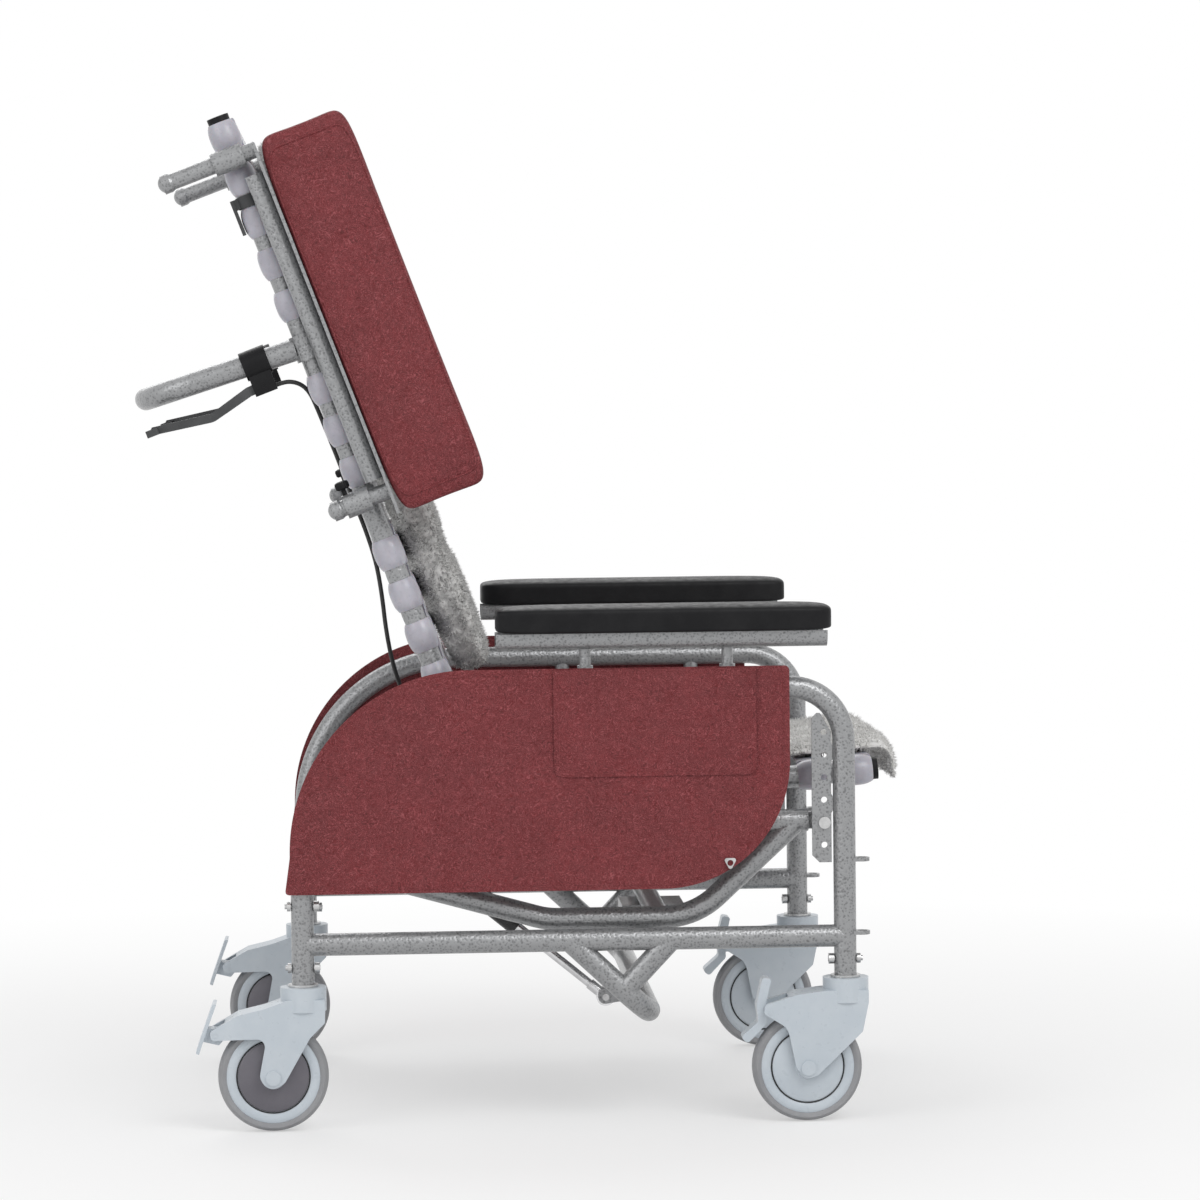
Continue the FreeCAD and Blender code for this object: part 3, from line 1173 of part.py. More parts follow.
for label, name, side in (("tilt_lever", "right", -1), ("recline_lever", "left", 1)):
    y = lever_out * side
    blade = new_body(label + "_blade")
    sketch = new_sketch(blade, "XZ_Plane", label + "_outline", -(y + 6.0))
    top = lever_pivot_v
    trace(sketch, ((lever_pivot_u + 6.0, top + 6.0, 5.8), (lever_pivot_u - 20.0, top + 5.0, 8.0),
                   (-130.0, top - 8.0, 20.0), (-198.0, top + 2.0), (-205.0, top - 6.0),
                   (-130.0, top - 18.0, 20.0), (lever_pivot_u - 18.0, top - 6.0, 8.0),
                   (lever_pivot_u + 6.0, top - 6.0, 5.8)), True)
    circle(sketch, lever_pivot_u, lever_pivot_v, as_size(2.53))
    padded(blade, sketch, as_size(12.0), label + "_pad")
    paddle = block(label + "_paddle", as_size(-206.0), y - 20.0, top - 8.0, as_size(14.0),
                   as_size(40.0), as_size(8.0))
    on_back(join(label + "_joined", [blade, paddle]), label)


# Release cable: straight runs joined by tangent arcs, as large as the runs allow
def cable_arc(before, corner, after):
    """Ends, middle and radius of the arc at one corner of the cable's route."""
    inward = (corner - before)
    onward = (after - corner)
    reach = 0.45 * min(inward.Length, onward.Length)
    turn = inward.getAngle(onward)
    inward.normalize()
    onward.normalize()
    radius = reach / math.tan(turn / 2)
    bisector = (onward - inward).normalize()
    centre = corner + bisector * math.hypot(reach, radius)
    middle = centre - bisector * radius
    return corner - inward * reach, middle, corner + onward * reach, radius


CABLE = (
    (-48.7, -228.0, 538.0), (-39.0, -228.0, 537.9), (-29.0, -227.0, 533.9), (-21.2, -223.0, 526.4),
    (-16.8, -215.5, 515.4), (-15.8, -208.5, 498.0), (-15.5, -204.8, 470.0), (-15.1, -203.2, 432.0),
    (-15.9, -203.0, 392.0), (-15.3, -202.5, 350.0), (-17.5, -201.5, 309.0), (-25.5, -199.0, 270.0),
    (-36.0, -195.0, 231.0), (-43.5, -189.0, 190.0), (-45.0, -182.0, 150.0), (-39.0, -175.0, 113.0),
    (-27.0, -169.5, 82.0), (-11.7, -165.0, 57.5),
)
route = [Vector(*point) for point in CABLE]
edges = []
begin = route[0]
radii = []
for index in range(1, len(route) - 1):
    start, middle, end, radius = cable_arc(route[index - 1], route[index], route[index + 1])
    edges.append(Part.LineSegment(begin, start).toShape())
    edges.append(Part.Arc(start, middle, end).toShape())
    radii.append(radius)
    begin = end
edges.append(Part.LineSegment(begin, route[-1]).toShape())
spine = Part.Wire(edges)
ring = Part.Wire([Part.makeCircle(d.cable_wide.value / 2, route[0], route[1] - route[0])])
cable = doc.addObject("Part::Feature", "cable_tube")
cable.Shape = spine.makePipeShell([ring], True, False)
expected = math.pi * (d.cable_wide.value / 2) ** 2 * spine.Length
print("cable radii", " ".join(f"{radius:.0f}" for radius in radii), "length", round(spine.Length, 1),
      "volume share", round(cable.Shape.Volume / expected, 4))
on_back(cable, "release_cable")

# Tilt spring: its rod hinges on the under brace, its cylinder slides on the rod
spring_dx = head_x - spring_foot_x
spring_dz = head_z - spring_foot_z
spring_long = math.hypot(spring_dx.value, spring_dz.value)
spring_turn = Rotation(Vector(0, 0, 1), Vector(spring_dx.value, 0, spring_dz.value))


def eye(label, radius, wide, bore, at_end):
    """Ring of a spring's end fitting, across the spring, at a distance along it."""
    ring = rod(label + "_ring", radius, wide, 0.0, -(as_size(wide) / 2), at_end, ALONG_Y)
    return ring, rod(label + "_hole", bore, as_size(wide) * 2, 0.0, -as_size(wide), at_end, ALONG_Y)


def spring_rod(label, node, eye_bore, first, last, x, y, z, rotation):
    """Rod with its end eye; first and last are distances from the eye."""
    ring, hole = eye(label, as_size(11.0), 14.0, eye_bore, as_size(0.0))
    bar = rod(label + "_bar", d.rod_wide / 2, last - first, 0.0, 0.0, first)
    neck = rod(label + "_neck", as_size(6.5), as_size(16.0), 0.0, 0.0, 8.0)
    solid = cut(label + "_solid", join(label + "_parts", [ring, bar, neck]), hole)
    place(solid, x, y, z, rotation)
    return solid


def spring_case(label, case, low, high, eye_at, eye_bore, eye_r):
    """Cylinder with its closed end's eye, bored for the rod."""
    ring, hole = eye(label, eye_r, 14.0, eye_bore, eye_at)
    shell = rod(label + "_shell", case / 2, high - low, 0.0, 0.0, low)
    neck = rod(label + "_neck", as_size(6.0), eye_at - high, 0.0, 0.0, high)
    inside = rod(label + "_bore", d.rod_wide / 2 + d.running_fit, high - low - 6.0, 0.0, 0.0, low)
    return cut(label + "_solid", join(label + "_parts", [ring, shell, neck]),
               join(label + "_tools", [hole, inside]))


tilt_rod = spring_rod("tilt_rod", "tilt_spring_rod", bolt_r + d.running_fit, as_size(9.0),
                      as_size(140.0), 0.0, 0.0, 0.0, UPRIGHT)
tilt_case = spring_case("tilt_case", d.tilt_case, as_size(134.0), as_size(spring_long - 30.0),
                        as_size(spring_long), bolt_r + 5.4, as_size(14.5))
for solid, node in ((tilt_rod, "tilt_spring_rod"), (tilt_case, "tilt_spring_cylinder")):
    place(solid, d.ahead_of_origin + spring_foot_x, -d.spring_out, spring_foot_z, spring_turn)
    keep(solid, node)

# Recline spring: its cylinder hinges under the seat, its rod slides out to the back's arm
seat_turn = math.radians(d.seat_rise.value)
back_turn = math.radians(d.recline_angle.value)
anchor = Vector(front_cross.value * math.cos(seat_turn) - anchor_t.value * math.sin(seat_turn), 0,
                front_cross.value * math.sin(seat_turn) + anchor_t.value * math.cos(seat_turn))
tip = Vector(arm_u.value * math.cos(back_turn) - arm_v.value * math.sin(back_turn), 0,
             arm_u.value * math.sin(back_turn) + arm_v.value * math.cos(back_turn))
reach = tip - anchor
recline_turn = Rotation(Vector(0, 0, 1), reach)
case_end = as_size(reach.Length - 92.0)


def recline_spring():
    """Cylinder and rod of the recline lock, laid from the seat anchor to the back's arm."""
    ring, hole = eye("recline_case_eye", as_size(11.0), 14.0, bolt_r, as_size(0.0))
    shell = rod("recline_case_shell", d.recline_case / 2, case_end - 24.0, 0.0, 0.0, as_size(24.0))
    neck = rod("recline_case_neck", as_size(6.0), as_size(20.0), 0.0, 0.0, as_size(8.0))
    inside = rod("recline_case_bore", d.rod_wide / 2 + d.running_fit, case_end - 40.0, 0.0, 0.0,
                 as_size(40.0))
    case = cut("recline_case_solid", join("recline_case_parts", [ring, shell, neck]),
               join("recline_case_tools", [hole, inside]))
    far_ring, far_hole = eye("recline_rod_eye", as_size(10.0), 14.0, bolt_r + 2.0,
                             as_size(reach.Length))
    bar = rod("recline_rod_bar", d.rod_wide / 2, as_size(reach.Length) - case_end + 16.0, 0.0, 0.0,
              case_end - 24.0)
    tail = cut("recline_rod_solid", join("recline_rod_parts", [far_ring, bar]), far_hole)
    for solid, node in ((case, "recline_spring_cylinder"), (tail, "recline_spring_rod")):
        place(solid, d.ahead_of_origin - d.hinge_back + anchor.x, d.spring_out,
              d.hinge_high + anchor.z, recline_turn)
        keep(solid, node)


recline_spring()


# Casters, each drawn with its swivel axis at X = 0 and its wheel trailing behind
def wheel(label, x, y, trail):
    """Tyre node and hub node of one wheel, both turned about the axle."""
    half = d.tread_wide / 2
    rim = wheel_r - d.tyre_deep
    for part, outline in (
            ("tyre", ((rim, -half + 1.5), (wheel_r - 4.0, -half, 2.0), (wheel_r, -half + 8.0, 6.0),
                      (wheel_r, half - 8.0, 6.0), (wheel_r - 4.0, half, 2.0), (rim, half - 1.5))),
            ("hub", ((d.axle_wide / 2 + d.running_fit, -half - 1.4), (13.0, -half - 1.4),
                     (15.0, -half + 3.5), (rim - 10.0, -half + 3.5), (rim - 9.5, -half + 1.5),
                     (rim, -half + 1.5), (rim, half - 1.5), (rim - 9.5, half - 1.5),
                     (rim - 10.0, half - 3.5), (15.0, half - 3.5), (13.0, half + 1.4),
                     (d.axle_wide / 2 + d.running_fit, half + 1.4)))):
        body = new_body(f"{label}_{part}_body")
        sketch = new_sketch(body, "XY_Plane", f"{label}_{part}_outline")
        trace(sketch, outline, True)
        turned = body.newObject("PartDesign::Revolution", f"{label}_{part}_turned")
        turned.Profile = sketch
        turned.ReferenceAxis = (sketch, ["V_Axis"])
        turned.Angle = 360.0
        place(body, d.ahead_of_origin + x - trail, y, wheel_r)
        keep(body, f"{label}_{part}")


def caster(end, name, x, side):
    """Fork with its axle and pin, wheel and brake pedal of one caster."""
    y = d.side_out * side
    label = f"caster_{end}_{name}"
    rear = end == "rear"
    trail = d.rear_trail if rear else d.front_trail
    hub = wheel_r + 0.5
    if rear:
        outline = ((-18.0, 150.0), (-44.0, 141.0, 40.0), (-74.0, 134.0), (-106.0, 116.0, 5.0),
                   (-104.0, 106.0, 4.0), (-42.0, 107.0, 9.0), (-trail - 15.5, hub, 12.0),
                   (-trail - 5.0, hub - 16.5, 13.0), (-trail + 13.0, hub - 6.5, 12.0),
                   (7.0, 107.0, 8.0), (24.0, 124.0, 5.0), (24.0, 150.0))
        pedal_x, pedal_z = as_size(-99.5), as_size(111.5)
    else:
        outline = ((-26.0, 150.0), (-58.0, 146.0, 30.0), (-94.0, 134.5, 5.0), (-95.0, 125.0, 3.0),
                   (-68.0, 108.0, 20.0), (-trail - 14.0, hub, 12.0), (-trail - 3.0, hub - 14.0, 11.0),
                   (-trail + 11.0, hub - 9.0, 10.0), (17.0, 103.0, 5.0), (24.0, 136.0, 6.0),
                   (24.0, 150.0))
        pedal_x, pedal_z = as_size(-87.3), as_size(125.5)
    cheeks = slab(label + "_cheeks", outline, d.fork_wide / 2)
    collar = rod(label + "_collar", d.collar_wide / 2, d.leg_foot - 2.5 - d.air - 136.0, 0.0, 0.0, 136.0)
    slot = pin(label + "_slot", wheel_r + 3.0, -trail, hub, 0.0, d.fork_gap)
    notch = block(label + "_notch", pedal_x - 25.0, -14.0, pedal_z - 14.0, as_size(46.0),
                  as_size(28.0), as_size(28.0) if rear else as_size(60.0))
    bore = rod(label + "_bore", d.spindle_wide / 2 + d.running_fit, as_size(60.0), 0.0, 0.0, 130.5)
    axle_hole = pin(label + "_axle_hole", d.axle_wide / 2, -trail, wheel_r, 0.0, d.fork_wide * 2)
    pin_hole = pin(label + "_pin_hole", as_size(2.5), pedal_x, pedal_z, 0.0, d.fork_wide * 2)
    fork = cut(label + "_carved", join(label + "_shape", [cheeks, collar]),
               join(label + "_tools", [slot, notch, bore, axle_hole, pin_hole]))
    axle = join(label + "_axle", [
        pin(label + "_axle_bar", d.axle_wide / 2, -trail, wheel_r, 0.0, d.fork_wide),
        pin(label + "_axle_head", as_size(8.5), -trail, wheel_r, -d.fork_wide / 2 - 1.0, as_size(2.0)),
        pin(label + "_axle_nut", as_size(8.5), -trail, wheel_r, d.fork_wide / 2 + 1.0, as_size(2.0))])
    pivot = pin(label + "_pivot", as_size(2.47), pedal_x, pedal_z, 0.0, d.fork_wide + 1.0)
    whole = group(label + "_set", [fork, axle, pivot])
    place(whole, d.ahead_of_origin + x, y, 0.0)
    keep(whole, f"{label}_fork")
    wheel(label, x, y, trail)
    if rear:
        blade = slab(label + "_blade", (
            (pedal_x - 2.5, pedal_z + 36.0, 2.0), (pedal_x + 1.5, pedal_z + 35.0),
            (pedal_x - 11.5, pedal_z), (pedal_x - 18.5, pedal_z - 21.0), (pedal_x - 22.5, pedal_z - 20.0, 2.0),
            (pedal_x - 15.5, pedal_z)), as_size(21.0))
        lug = slab(label + "_lug", (
            (pedal_x + 6.0, pedal_z + 6.0, 5.5), (pedal_x - 13.0, pedal_z + 7.0),
            (pedal_x - 16.0, pedal_z - 7.0), (pedal_x + 4.0, pedal_z - 12.0, 3.0),
            (pedal_x + 9.0, pedal_z - 6.0, 3.0)), as_size(13.0))
    else:
        blade = slab(label + "_blade", (
            (-95.5, 165.0, 3.0), (-85.5, 163.0, 3.0), (-92.5, 133.0, 10.0), (-91.5, 112.5, 6.0),
            (-113.0, 90.0, 4.0), (-121.0, 97.0, 4.0), (-100.5, 115.0, 6.0), (-103.0, 133.0, 10.0)),
            as_size(12.0))
        lug = slab(label + "_lug", (
            (pedal_x + 5.0, pedal_z + 5.0, 4.8), (pedal_x - 12.0, pedal_z + 6.0),
            (pedal_x - 12.0, pedal_z - 6.0), (pedal_x + 5.0, pedal_z - 5.0, 4.8)), as_size(12.0))
    hole = pin(label + "_pedal_hole", as_size(2.53), pedal_x, pedal_z, 0.0, as_size(60.0))
    pedal = cut(label + "_pedal_solid", join(label + "_pedal_parts", [blade, lug]), hole)
    place(pedal, d.ahead_of_origin + x, y, 0.0)
    keep(pedal, f"{label}_pedal")


for name, side in SIDES:
    caster("rear", name, -d.rear_leg, side)
    caster("front", name, d.front_leg, side)

doc.recompute()

faults = []
for thing in doc.Objects:
    if "Invalid" in thing.State or "Error" in thing.State:
        faults.append(f"{thing.Label}: {thing.State}")
for thing in kept:
    if thing.Shape.isNull() or not thing.Shape.isValid():
        faults.append(f"{thing.Label}: shape")
if faults:
    raise RuntimeError("; ".join(faults))

os.makedirs("parts", exist_ok=True)
for thing in kept:
    thing.Shape.exportStep(os.path.join("parts", thing.Label + ".step"))
print(len(kept), "sub-parts written")
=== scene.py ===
"""Looks of the tilt in space wheelchair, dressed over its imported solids.

Every piece is in metres in the frame of the solids: X forwards, Y to the occupant's
left, Z up, floor at Z = 0.  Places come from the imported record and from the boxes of
the nodes, so that a piece sits where its solid is.
"""
from __future__ import annotations

import json
import logging
import math
from dataclasses import dataclass
from enum import Enum

import bmesh
import bpy
import numpy as np
from mathutils import Matrix, Vector

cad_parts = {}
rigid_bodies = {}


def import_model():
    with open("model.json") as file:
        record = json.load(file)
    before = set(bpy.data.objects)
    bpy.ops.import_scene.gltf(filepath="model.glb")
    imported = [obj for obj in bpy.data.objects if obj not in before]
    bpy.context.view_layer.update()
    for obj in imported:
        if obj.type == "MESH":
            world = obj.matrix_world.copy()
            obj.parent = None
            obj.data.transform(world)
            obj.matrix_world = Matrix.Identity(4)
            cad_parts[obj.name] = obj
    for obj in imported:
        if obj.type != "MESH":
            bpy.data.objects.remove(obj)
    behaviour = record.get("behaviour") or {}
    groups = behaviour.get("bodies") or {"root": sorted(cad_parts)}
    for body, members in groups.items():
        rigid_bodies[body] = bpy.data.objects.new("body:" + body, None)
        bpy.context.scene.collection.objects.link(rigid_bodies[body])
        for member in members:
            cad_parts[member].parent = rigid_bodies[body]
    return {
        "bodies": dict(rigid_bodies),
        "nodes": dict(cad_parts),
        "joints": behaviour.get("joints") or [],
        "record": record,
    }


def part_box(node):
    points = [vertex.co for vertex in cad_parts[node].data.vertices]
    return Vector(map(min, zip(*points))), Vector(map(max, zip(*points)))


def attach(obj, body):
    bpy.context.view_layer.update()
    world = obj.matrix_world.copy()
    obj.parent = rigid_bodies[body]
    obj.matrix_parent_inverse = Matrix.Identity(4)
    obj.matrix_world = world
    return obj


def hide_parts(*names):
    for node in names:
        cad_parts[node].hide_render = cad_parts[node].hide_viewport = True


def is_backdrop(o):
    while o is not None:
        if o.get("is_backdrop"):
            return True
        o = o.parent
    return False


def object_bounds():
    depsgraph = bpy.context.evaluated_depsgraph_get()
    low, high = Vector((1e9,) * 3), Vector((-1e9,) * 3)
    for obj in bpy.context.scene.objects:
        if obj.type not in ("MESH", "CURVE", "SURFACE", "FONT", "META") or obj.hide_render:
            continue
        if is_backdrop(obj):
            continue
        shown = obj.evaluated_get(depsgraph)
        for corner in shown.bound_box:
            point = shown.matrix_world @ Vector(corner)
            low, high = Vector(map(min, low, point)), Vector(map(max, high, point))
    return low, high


LOG = logging.getLogger("wheelchair")
TURN = 2.0 * math.pi
SEAT_SLOPE = math.radians(5.0)
WELD = 1e-6
WHITE = (1.0, 1.0, 1.0, 1.0)
TUFT_WIDE = 0.0011
TUFT_ROOT = 0.001


class Side(Enum):
    """The two sides of the chair, with the sign of Y."""

    RIGHT = -1
    LEFT = 1

    @property
    def word(self) -> str:
        """The side's name as the nodes spell it."""
        return self.name.lower()


# Shader graphs


def added(tree: bpy.types.NodeTree, kind: str, **inputs: object) -> bpy.types.ShaderNode:
    """Add a node to a shader graph and fill its inputs.

    Args:
        tree: the graph.
        kind: the node's type, without its ShaderNode prefix.
        inputs: a plain value or a socket for each input; underscores stand for spaces.

    Returns:
        The node.
    """
    node = tree.nodes.new(f"ShaderNode{kind}")
    for key, value in inputs.items():
        socket = node.inputs[key.replace("_", " ")]
        if isinstance(value, bpy.types.NodeSocket):
            tree.links.new(value, socket)
        else:
            socket.default_value = value
    return node


class NodeBoard:
    """A material's graph, with the few nodes that the finishes share."""

    def __init__(self, name: str) -> None:
        """Start a material with its Principled shader and Object coordinates.

        Args:
            name: the material's name.
        """
        self.material = bpy.data.materials.new(name)
        self.material.use_nodes = True
        self.tree = self.material.node_tree
        self.shader = self.tree.nodes["Principled BSDF"]
        self.place = added(self.tree, "TexCoord").outputs["Object"]

    def set(self, **values: object) -> None:
        """Set sockets of the shader: underscores stand for spaces in their names."""
        for key, value in values.items():
            self.shader.inputs[key.replace("_", " ")].default_value = value

    def stretched(self, scale: tuple[float, float, float]) -> bpy.types.NodeSocket:
        """Object coordinates stretched by a Mapping node."""
        return added(self.tree, "Mapping", Scale=scale, Vector=self.place).outputs["Vector"]

    def noise(self, scale: float, detail: float = 3.0, rough: float = 0.5, bend: float = 0.0,
              place: bpy.types.NodeSocket | None = None) -> bpy.types.NodeSocket:
        """Noise of a given fineness, in cells per metre.

        Args:
            scale: cells per metre.
            detail: octaves.
            rough: share of each octave.
            bend: distortion of the pattern.
            place: coordinates, or None for Object coordinates.

        Returns:
            The noise value.
        """
        node = added(self.tree, "TexNoise", Scale=scale, Detail=detail, Roughness=rough,
                     Distortion=bend, Vector=place or self.place)
        return node.outputs["Fac"]

    def cells(self, scale: float, feature: str = "F1") -> bpy.types.NodeSocket:
        """Distance pattern of Voronoi cells, in cells per metre."""
        node = added(self.tree, "TexVoronoi", Scale=scale, Vector=self.place)
        node.feature = feature
        return node.outputs["Distance"]

    def ramp(self, source: bpy.types.NodeSocket,
             stops: list[tuple[float, tuple[float, float, float]]]) -> bpy.types.NodeSocket:
        """A colour ramp through the given stops."""
        node = added(self.tree, "ValToRGB", Fac=source)
        ramp = node.color_ramp
        while len(ramp.elements) < len(stops):
            ramp.elements.new(0.5)
        for element, (at, colour) in zip(ramp.elements, stops):
            element.position = at
            element.color = (*colour, 1.0)
        return node.outputs["Color"]

    def grey(self, source: bpy.types.NodeSocket, low: float, high: float, at_low: float = 0.0,
             at_high: float = 1.0) -> bpy.types.NodeSocket:
        """Map a value from one range to another."""
        node = added(self.tree, "MapRange", Value=source, From_Min=low, From_Max=high,
                     To_Min=at_low, To_Max=at_high)
        return node.outputs["Result"]

    def mix(self, share: bpy.types.NodeSocket, first: object, second: object) -> bpy.types.NodeSocket:
        """Mix two colours, each a socket or a plain colour, by a share."""
        node = added(self.tree, "Mix", Factor=share)
        node.data_type = "RGBA"
        for socket, colour in (("A", first), ("B", second)):
            target = [s for s in node.inputs if s.name == socket and s.type == "RGBA"][0]
            if isinstance(colour, tuple):
                target.default_value = (*colour, 1.0)
            else:
                self.tree.links.new(colour, target)
        return [s for s in node.outputs if s.type == "RGBA"][0]

    def bump(self, height: bpy.types.NodeSocket, depth: float, strength: float = 1.0,
             below: bpy.types.NodeSocket | None = None) -> bpy.types.NodeSocket:
        """A bump of the given depth in metres, over another where one is given."""
        node = added(self.tree, "Bump", Distance=depth, Strength=strength, Height=height)
        if below is not None:
            self.tree.links.new(below, node.inputs["Normal"])
        return node.outputs["Normal"]

    def wire(self, socket: bpy.types.NodeSocket, name: str) -> None:
        """Lead a socket to one of the shader's inputs."""
        self.tree.links.new(socket, self.shader.inputs[name])


class Finish:
    """One finish of the chair; its material is made once and kept."""

    made: dict[str, bpy.types.Material] = {}

    def material(self) -> bpy.types.Material:
        """The finish's material, made at its first use."""
        key = repr(self)
        if key not in Finish.made:
            Finish.made[key] = self.mix_paint()
        return Finish.made[key]

    def mix_paint(self) -> bpy.types.Material:
        """Build the material's graph."""
        raise NotImplementedError


@dataclass(frozen=True, repr=True)
class HammerPaint(Finish):
    """Silver-grey hammered lacquer on steel tube: shallow dimples with bright rims."""

    slot: str = "hammertone"
    dark: tuple[float, float, float] = (0.165, 0.167, 0.171)
    light: tuple[float, float, float] = (0.315, 0.319, 0.325)
    dimples: float = 330.0

    def mix_paint(self) -> bpy.types.Material:
        """Voronoi dimples drive the colour and the bump; fine noise breaks up the gloss."""
        board = NodeBoard("hammered_lacquer")
        dimple = board.cells(self.dimples, "SMOOTH_F1")
        board.wire(board.ramp(dimple, [(0.1, self.dark), (0.42, self.light), (0.8, self.light)]),
                   "Base Color")
        board.wire(board.grey(board.noise(900.0), 0.3, 0.7, 0.26, 0.42), "Roughness")
        fine = board.bump(board.noise(1500.0, 2.0), 0.0002, 0.4)
        board.wire(board.bump(dimple, 0.0010, 0.55, fine), "Normal")
        board.set(Metallic=0.55, Coat_Weight=0.28, Coat_Roughness=0.12)
        return board.material


@dataclass(frozen=True, repr=True)
class CrackleVinyl(Finish):
    """Burgundy coated cloth: darker cells, fine pale pink fibres and a soft gloss."""

    slot: str = "burgundy_vinyl"
    deep: tuple[float, float, float] = (0.118, 0.010, 0.012)
    body: tuple[float, float, float] = (0.160, 0.015, 0.018)
    fibre: tuple[float, float, float] = (0.37, 0.095, 0.105)
    shadow: tuple[float, float, float] = (0.058, 0.004, 0.005)
    contours: tuple[float, ...] = (0.38, 0.46, 0.54, 0.62)

    def mix_paint(self) -> bpy.types.Material:
        """Bent noise contours make the fibres; slow noise shades the cloth."""
        board = NodeBoard("crackle_vinyl")
        cloud = board.noise(14.0, 4.0, 0.6)
        base = board.ramp(cloud, [(0.32, self.deep), (0.66, self.body)])
        colour = base
        crackle = None
        off, lit = (0.0, 0.0, 0.0), (1.0, 1.0, 1.0)
        layers = ((46.0, 2.4, 0.012, self.fibre, 0.85), (70.0, 3.0, 0.014, self.fibre, 0.75),
                  (105.0, 1.4, 0.016, self.fibre, 0.60), (58.0, 2.0, 0.017, self.shadow, 0.70))
        for scale, bend, width, tone, share in layers:
            field = board.noise(scale, 1.2, 0.5, bend)
            stops = [(level + step * width, lit if step == 0 else off)
                     for level in self.contours for step in (-1, 0, 1)]
            line = board.ramp(field, stops)
            colour = board.mix(board.grey(line, 0.0, 1.0, 0.0, share), colour, tone)
            crackle = board.bump(line, 0.00030, 0.5, crackle)
        board.wire(colour, "Base Color")
        grain = board.bump(board.noise(1600.0, 3.0), 0.0003, 0.5, crackle)
        board.wire(grain, "Normal")
        board.wire(board.grey(board.noise(60.0), 0.3, 0.7, 0.42, 0.6), "Roughness")
        board.set(Specular_IOR_Level=0.32)
        return board.material


@dataclass(frozen=True, repr=True)
class StrapPlastic(Finish):
    """Grey-lilac flexible plastic of the seat and back straps."""

    slot: str = "strap_pvc"
    low: tuple[float, float, float] = (0.36, 0.35, 0.40)
    high: tuple[float, float, float] = (0.50, 0.49, 0.545)

    def mix_paint(self) -> bpy.types.Material:
        """Cloudy plastic with faint scuffs and a waxy sheen."""
        board = NodeBoard("strap_plastic")
        board.wire(board.ramp(board.noise(30.0, 4.0, 0.6), [(0.3, self.low), (0.7, self.high)]),
                   "Base Color")
        scuff = board.noise(260.0, 4.0, 0.7, 0.6)
        board.wire(board.grey(scuff, 0.35, 0.75, 0.24, 0.5), "Roughness")
        board.wire(board.bump(scuff, 0.0003, 0.3), "Normal")
        board.set(Subsurface_Weight=0.12, Subsurface_Scale=0.004, Coat_Weight=0.2)
        return board.material


@dataclass(frozen=True, repr=True)
class FleecePile(Finish):
    """Woolly pile: clumped, matt and slightly lit at grazing angles."""

    slot: str
    low: tuple[float, float, float]
    high: tuple[float, float, float]

    def mix_paint(self) -> bpy.types.Material:
        """Two sizes of clump shade the wool; fine noise gives its fibres."""
        board = NodeBoard(self.slot)
        clump = board.noise(95.0, 5.0, 0.65, 0.8)
        board.wire(board.ramp(clump, [(0.28, self.low), (0.62, self.high)]), "Base Color")
        strand = board.noise(900.0, 3.0, 0.6, 0.4, board.stretched((1.0, 1.0, 0.35)))
        board.wire(board.bump(strand, 0.0012, 0.7, board.bump(clump, 0.003, 0.5)), "Normal")
        board.set(Roughness=0.95, Specular_IOR_Level=0.15, Sheen_Weight=0.35, Sheen_Roughness=0.5)
        return board.material


@dataclass(frozen=True, repr=True)
class Moulded(Finish):
    """Moulded plastic or rubber: pebble grain, mottled gloss and a little wear."""

    slot: str
    colour: tuple[float, float, float]
    worn: tuple[float, float, float]
    rough: float = 0.42
    grain: float = 700.0
    depth: float = 0.00025
    shine: float = 0.5

    def mix_paint(self) -> bpy.types.Material:
        """Cell grain under slow wear that lightens and dulls the surface."""
        board = NodeBoard(f"moulded_{self.slot}_{self.colour[0]:.3f}")
        wear = board.noise(24.0, 6.0, 0.65)
        board.wire(board.ramp(wear, [(0.4, self.colour), (0.85, self.worn)]), "Base Color")
        board.wire(board.grey(board.noise(140.0, 4.0), 0.3, 0.7, self.rough - 0.08, self.rough + 0.1),
                   "Roughness")
        board.wire(board.bump(board.cells(self.grain), self.depth, 0.35), "Normal")
        board.set(Specular_IOR_Level=self.shine)
        return board.material


@dataclass(frozen=True, repr=True)
class Metal(Finish):
    """Plated or polished metal with fine brushing."""

    slot: str
    colour: tuple[float, float, float]
    rough: float = 0.3
    metallic: float = 1.0

    def mix_paint(self) -> bpy.types.Material:
        """Stretched noise brushes the metal; blotches dull it."""
        board = NodeBoard(f"metal_{self.slot}_{self.rough:.2f}")
        blotch = board.noise(80.0, 5.0, 0.6)
        dull = tuple(0.72 * c for c in self.colour)
        board.wire(board.ramp(blotch, [(0.3, dull), (0.65, self.colour)]), "Base Color")
        brush = board.noise(500.0, 2.0, 0.5, 0.0, board.stretched((0.15, 1.0, 1.0)))
        board.wire(board.grey(brush, 0.3, 0.7, self.rough * 0.7, self.rough * 1.3), "Roughness")
        board.wire(board.bump(brush, 0.00015, 0.25), "Normal")
        board.set(Metallic=self.metallic)
        return board.material


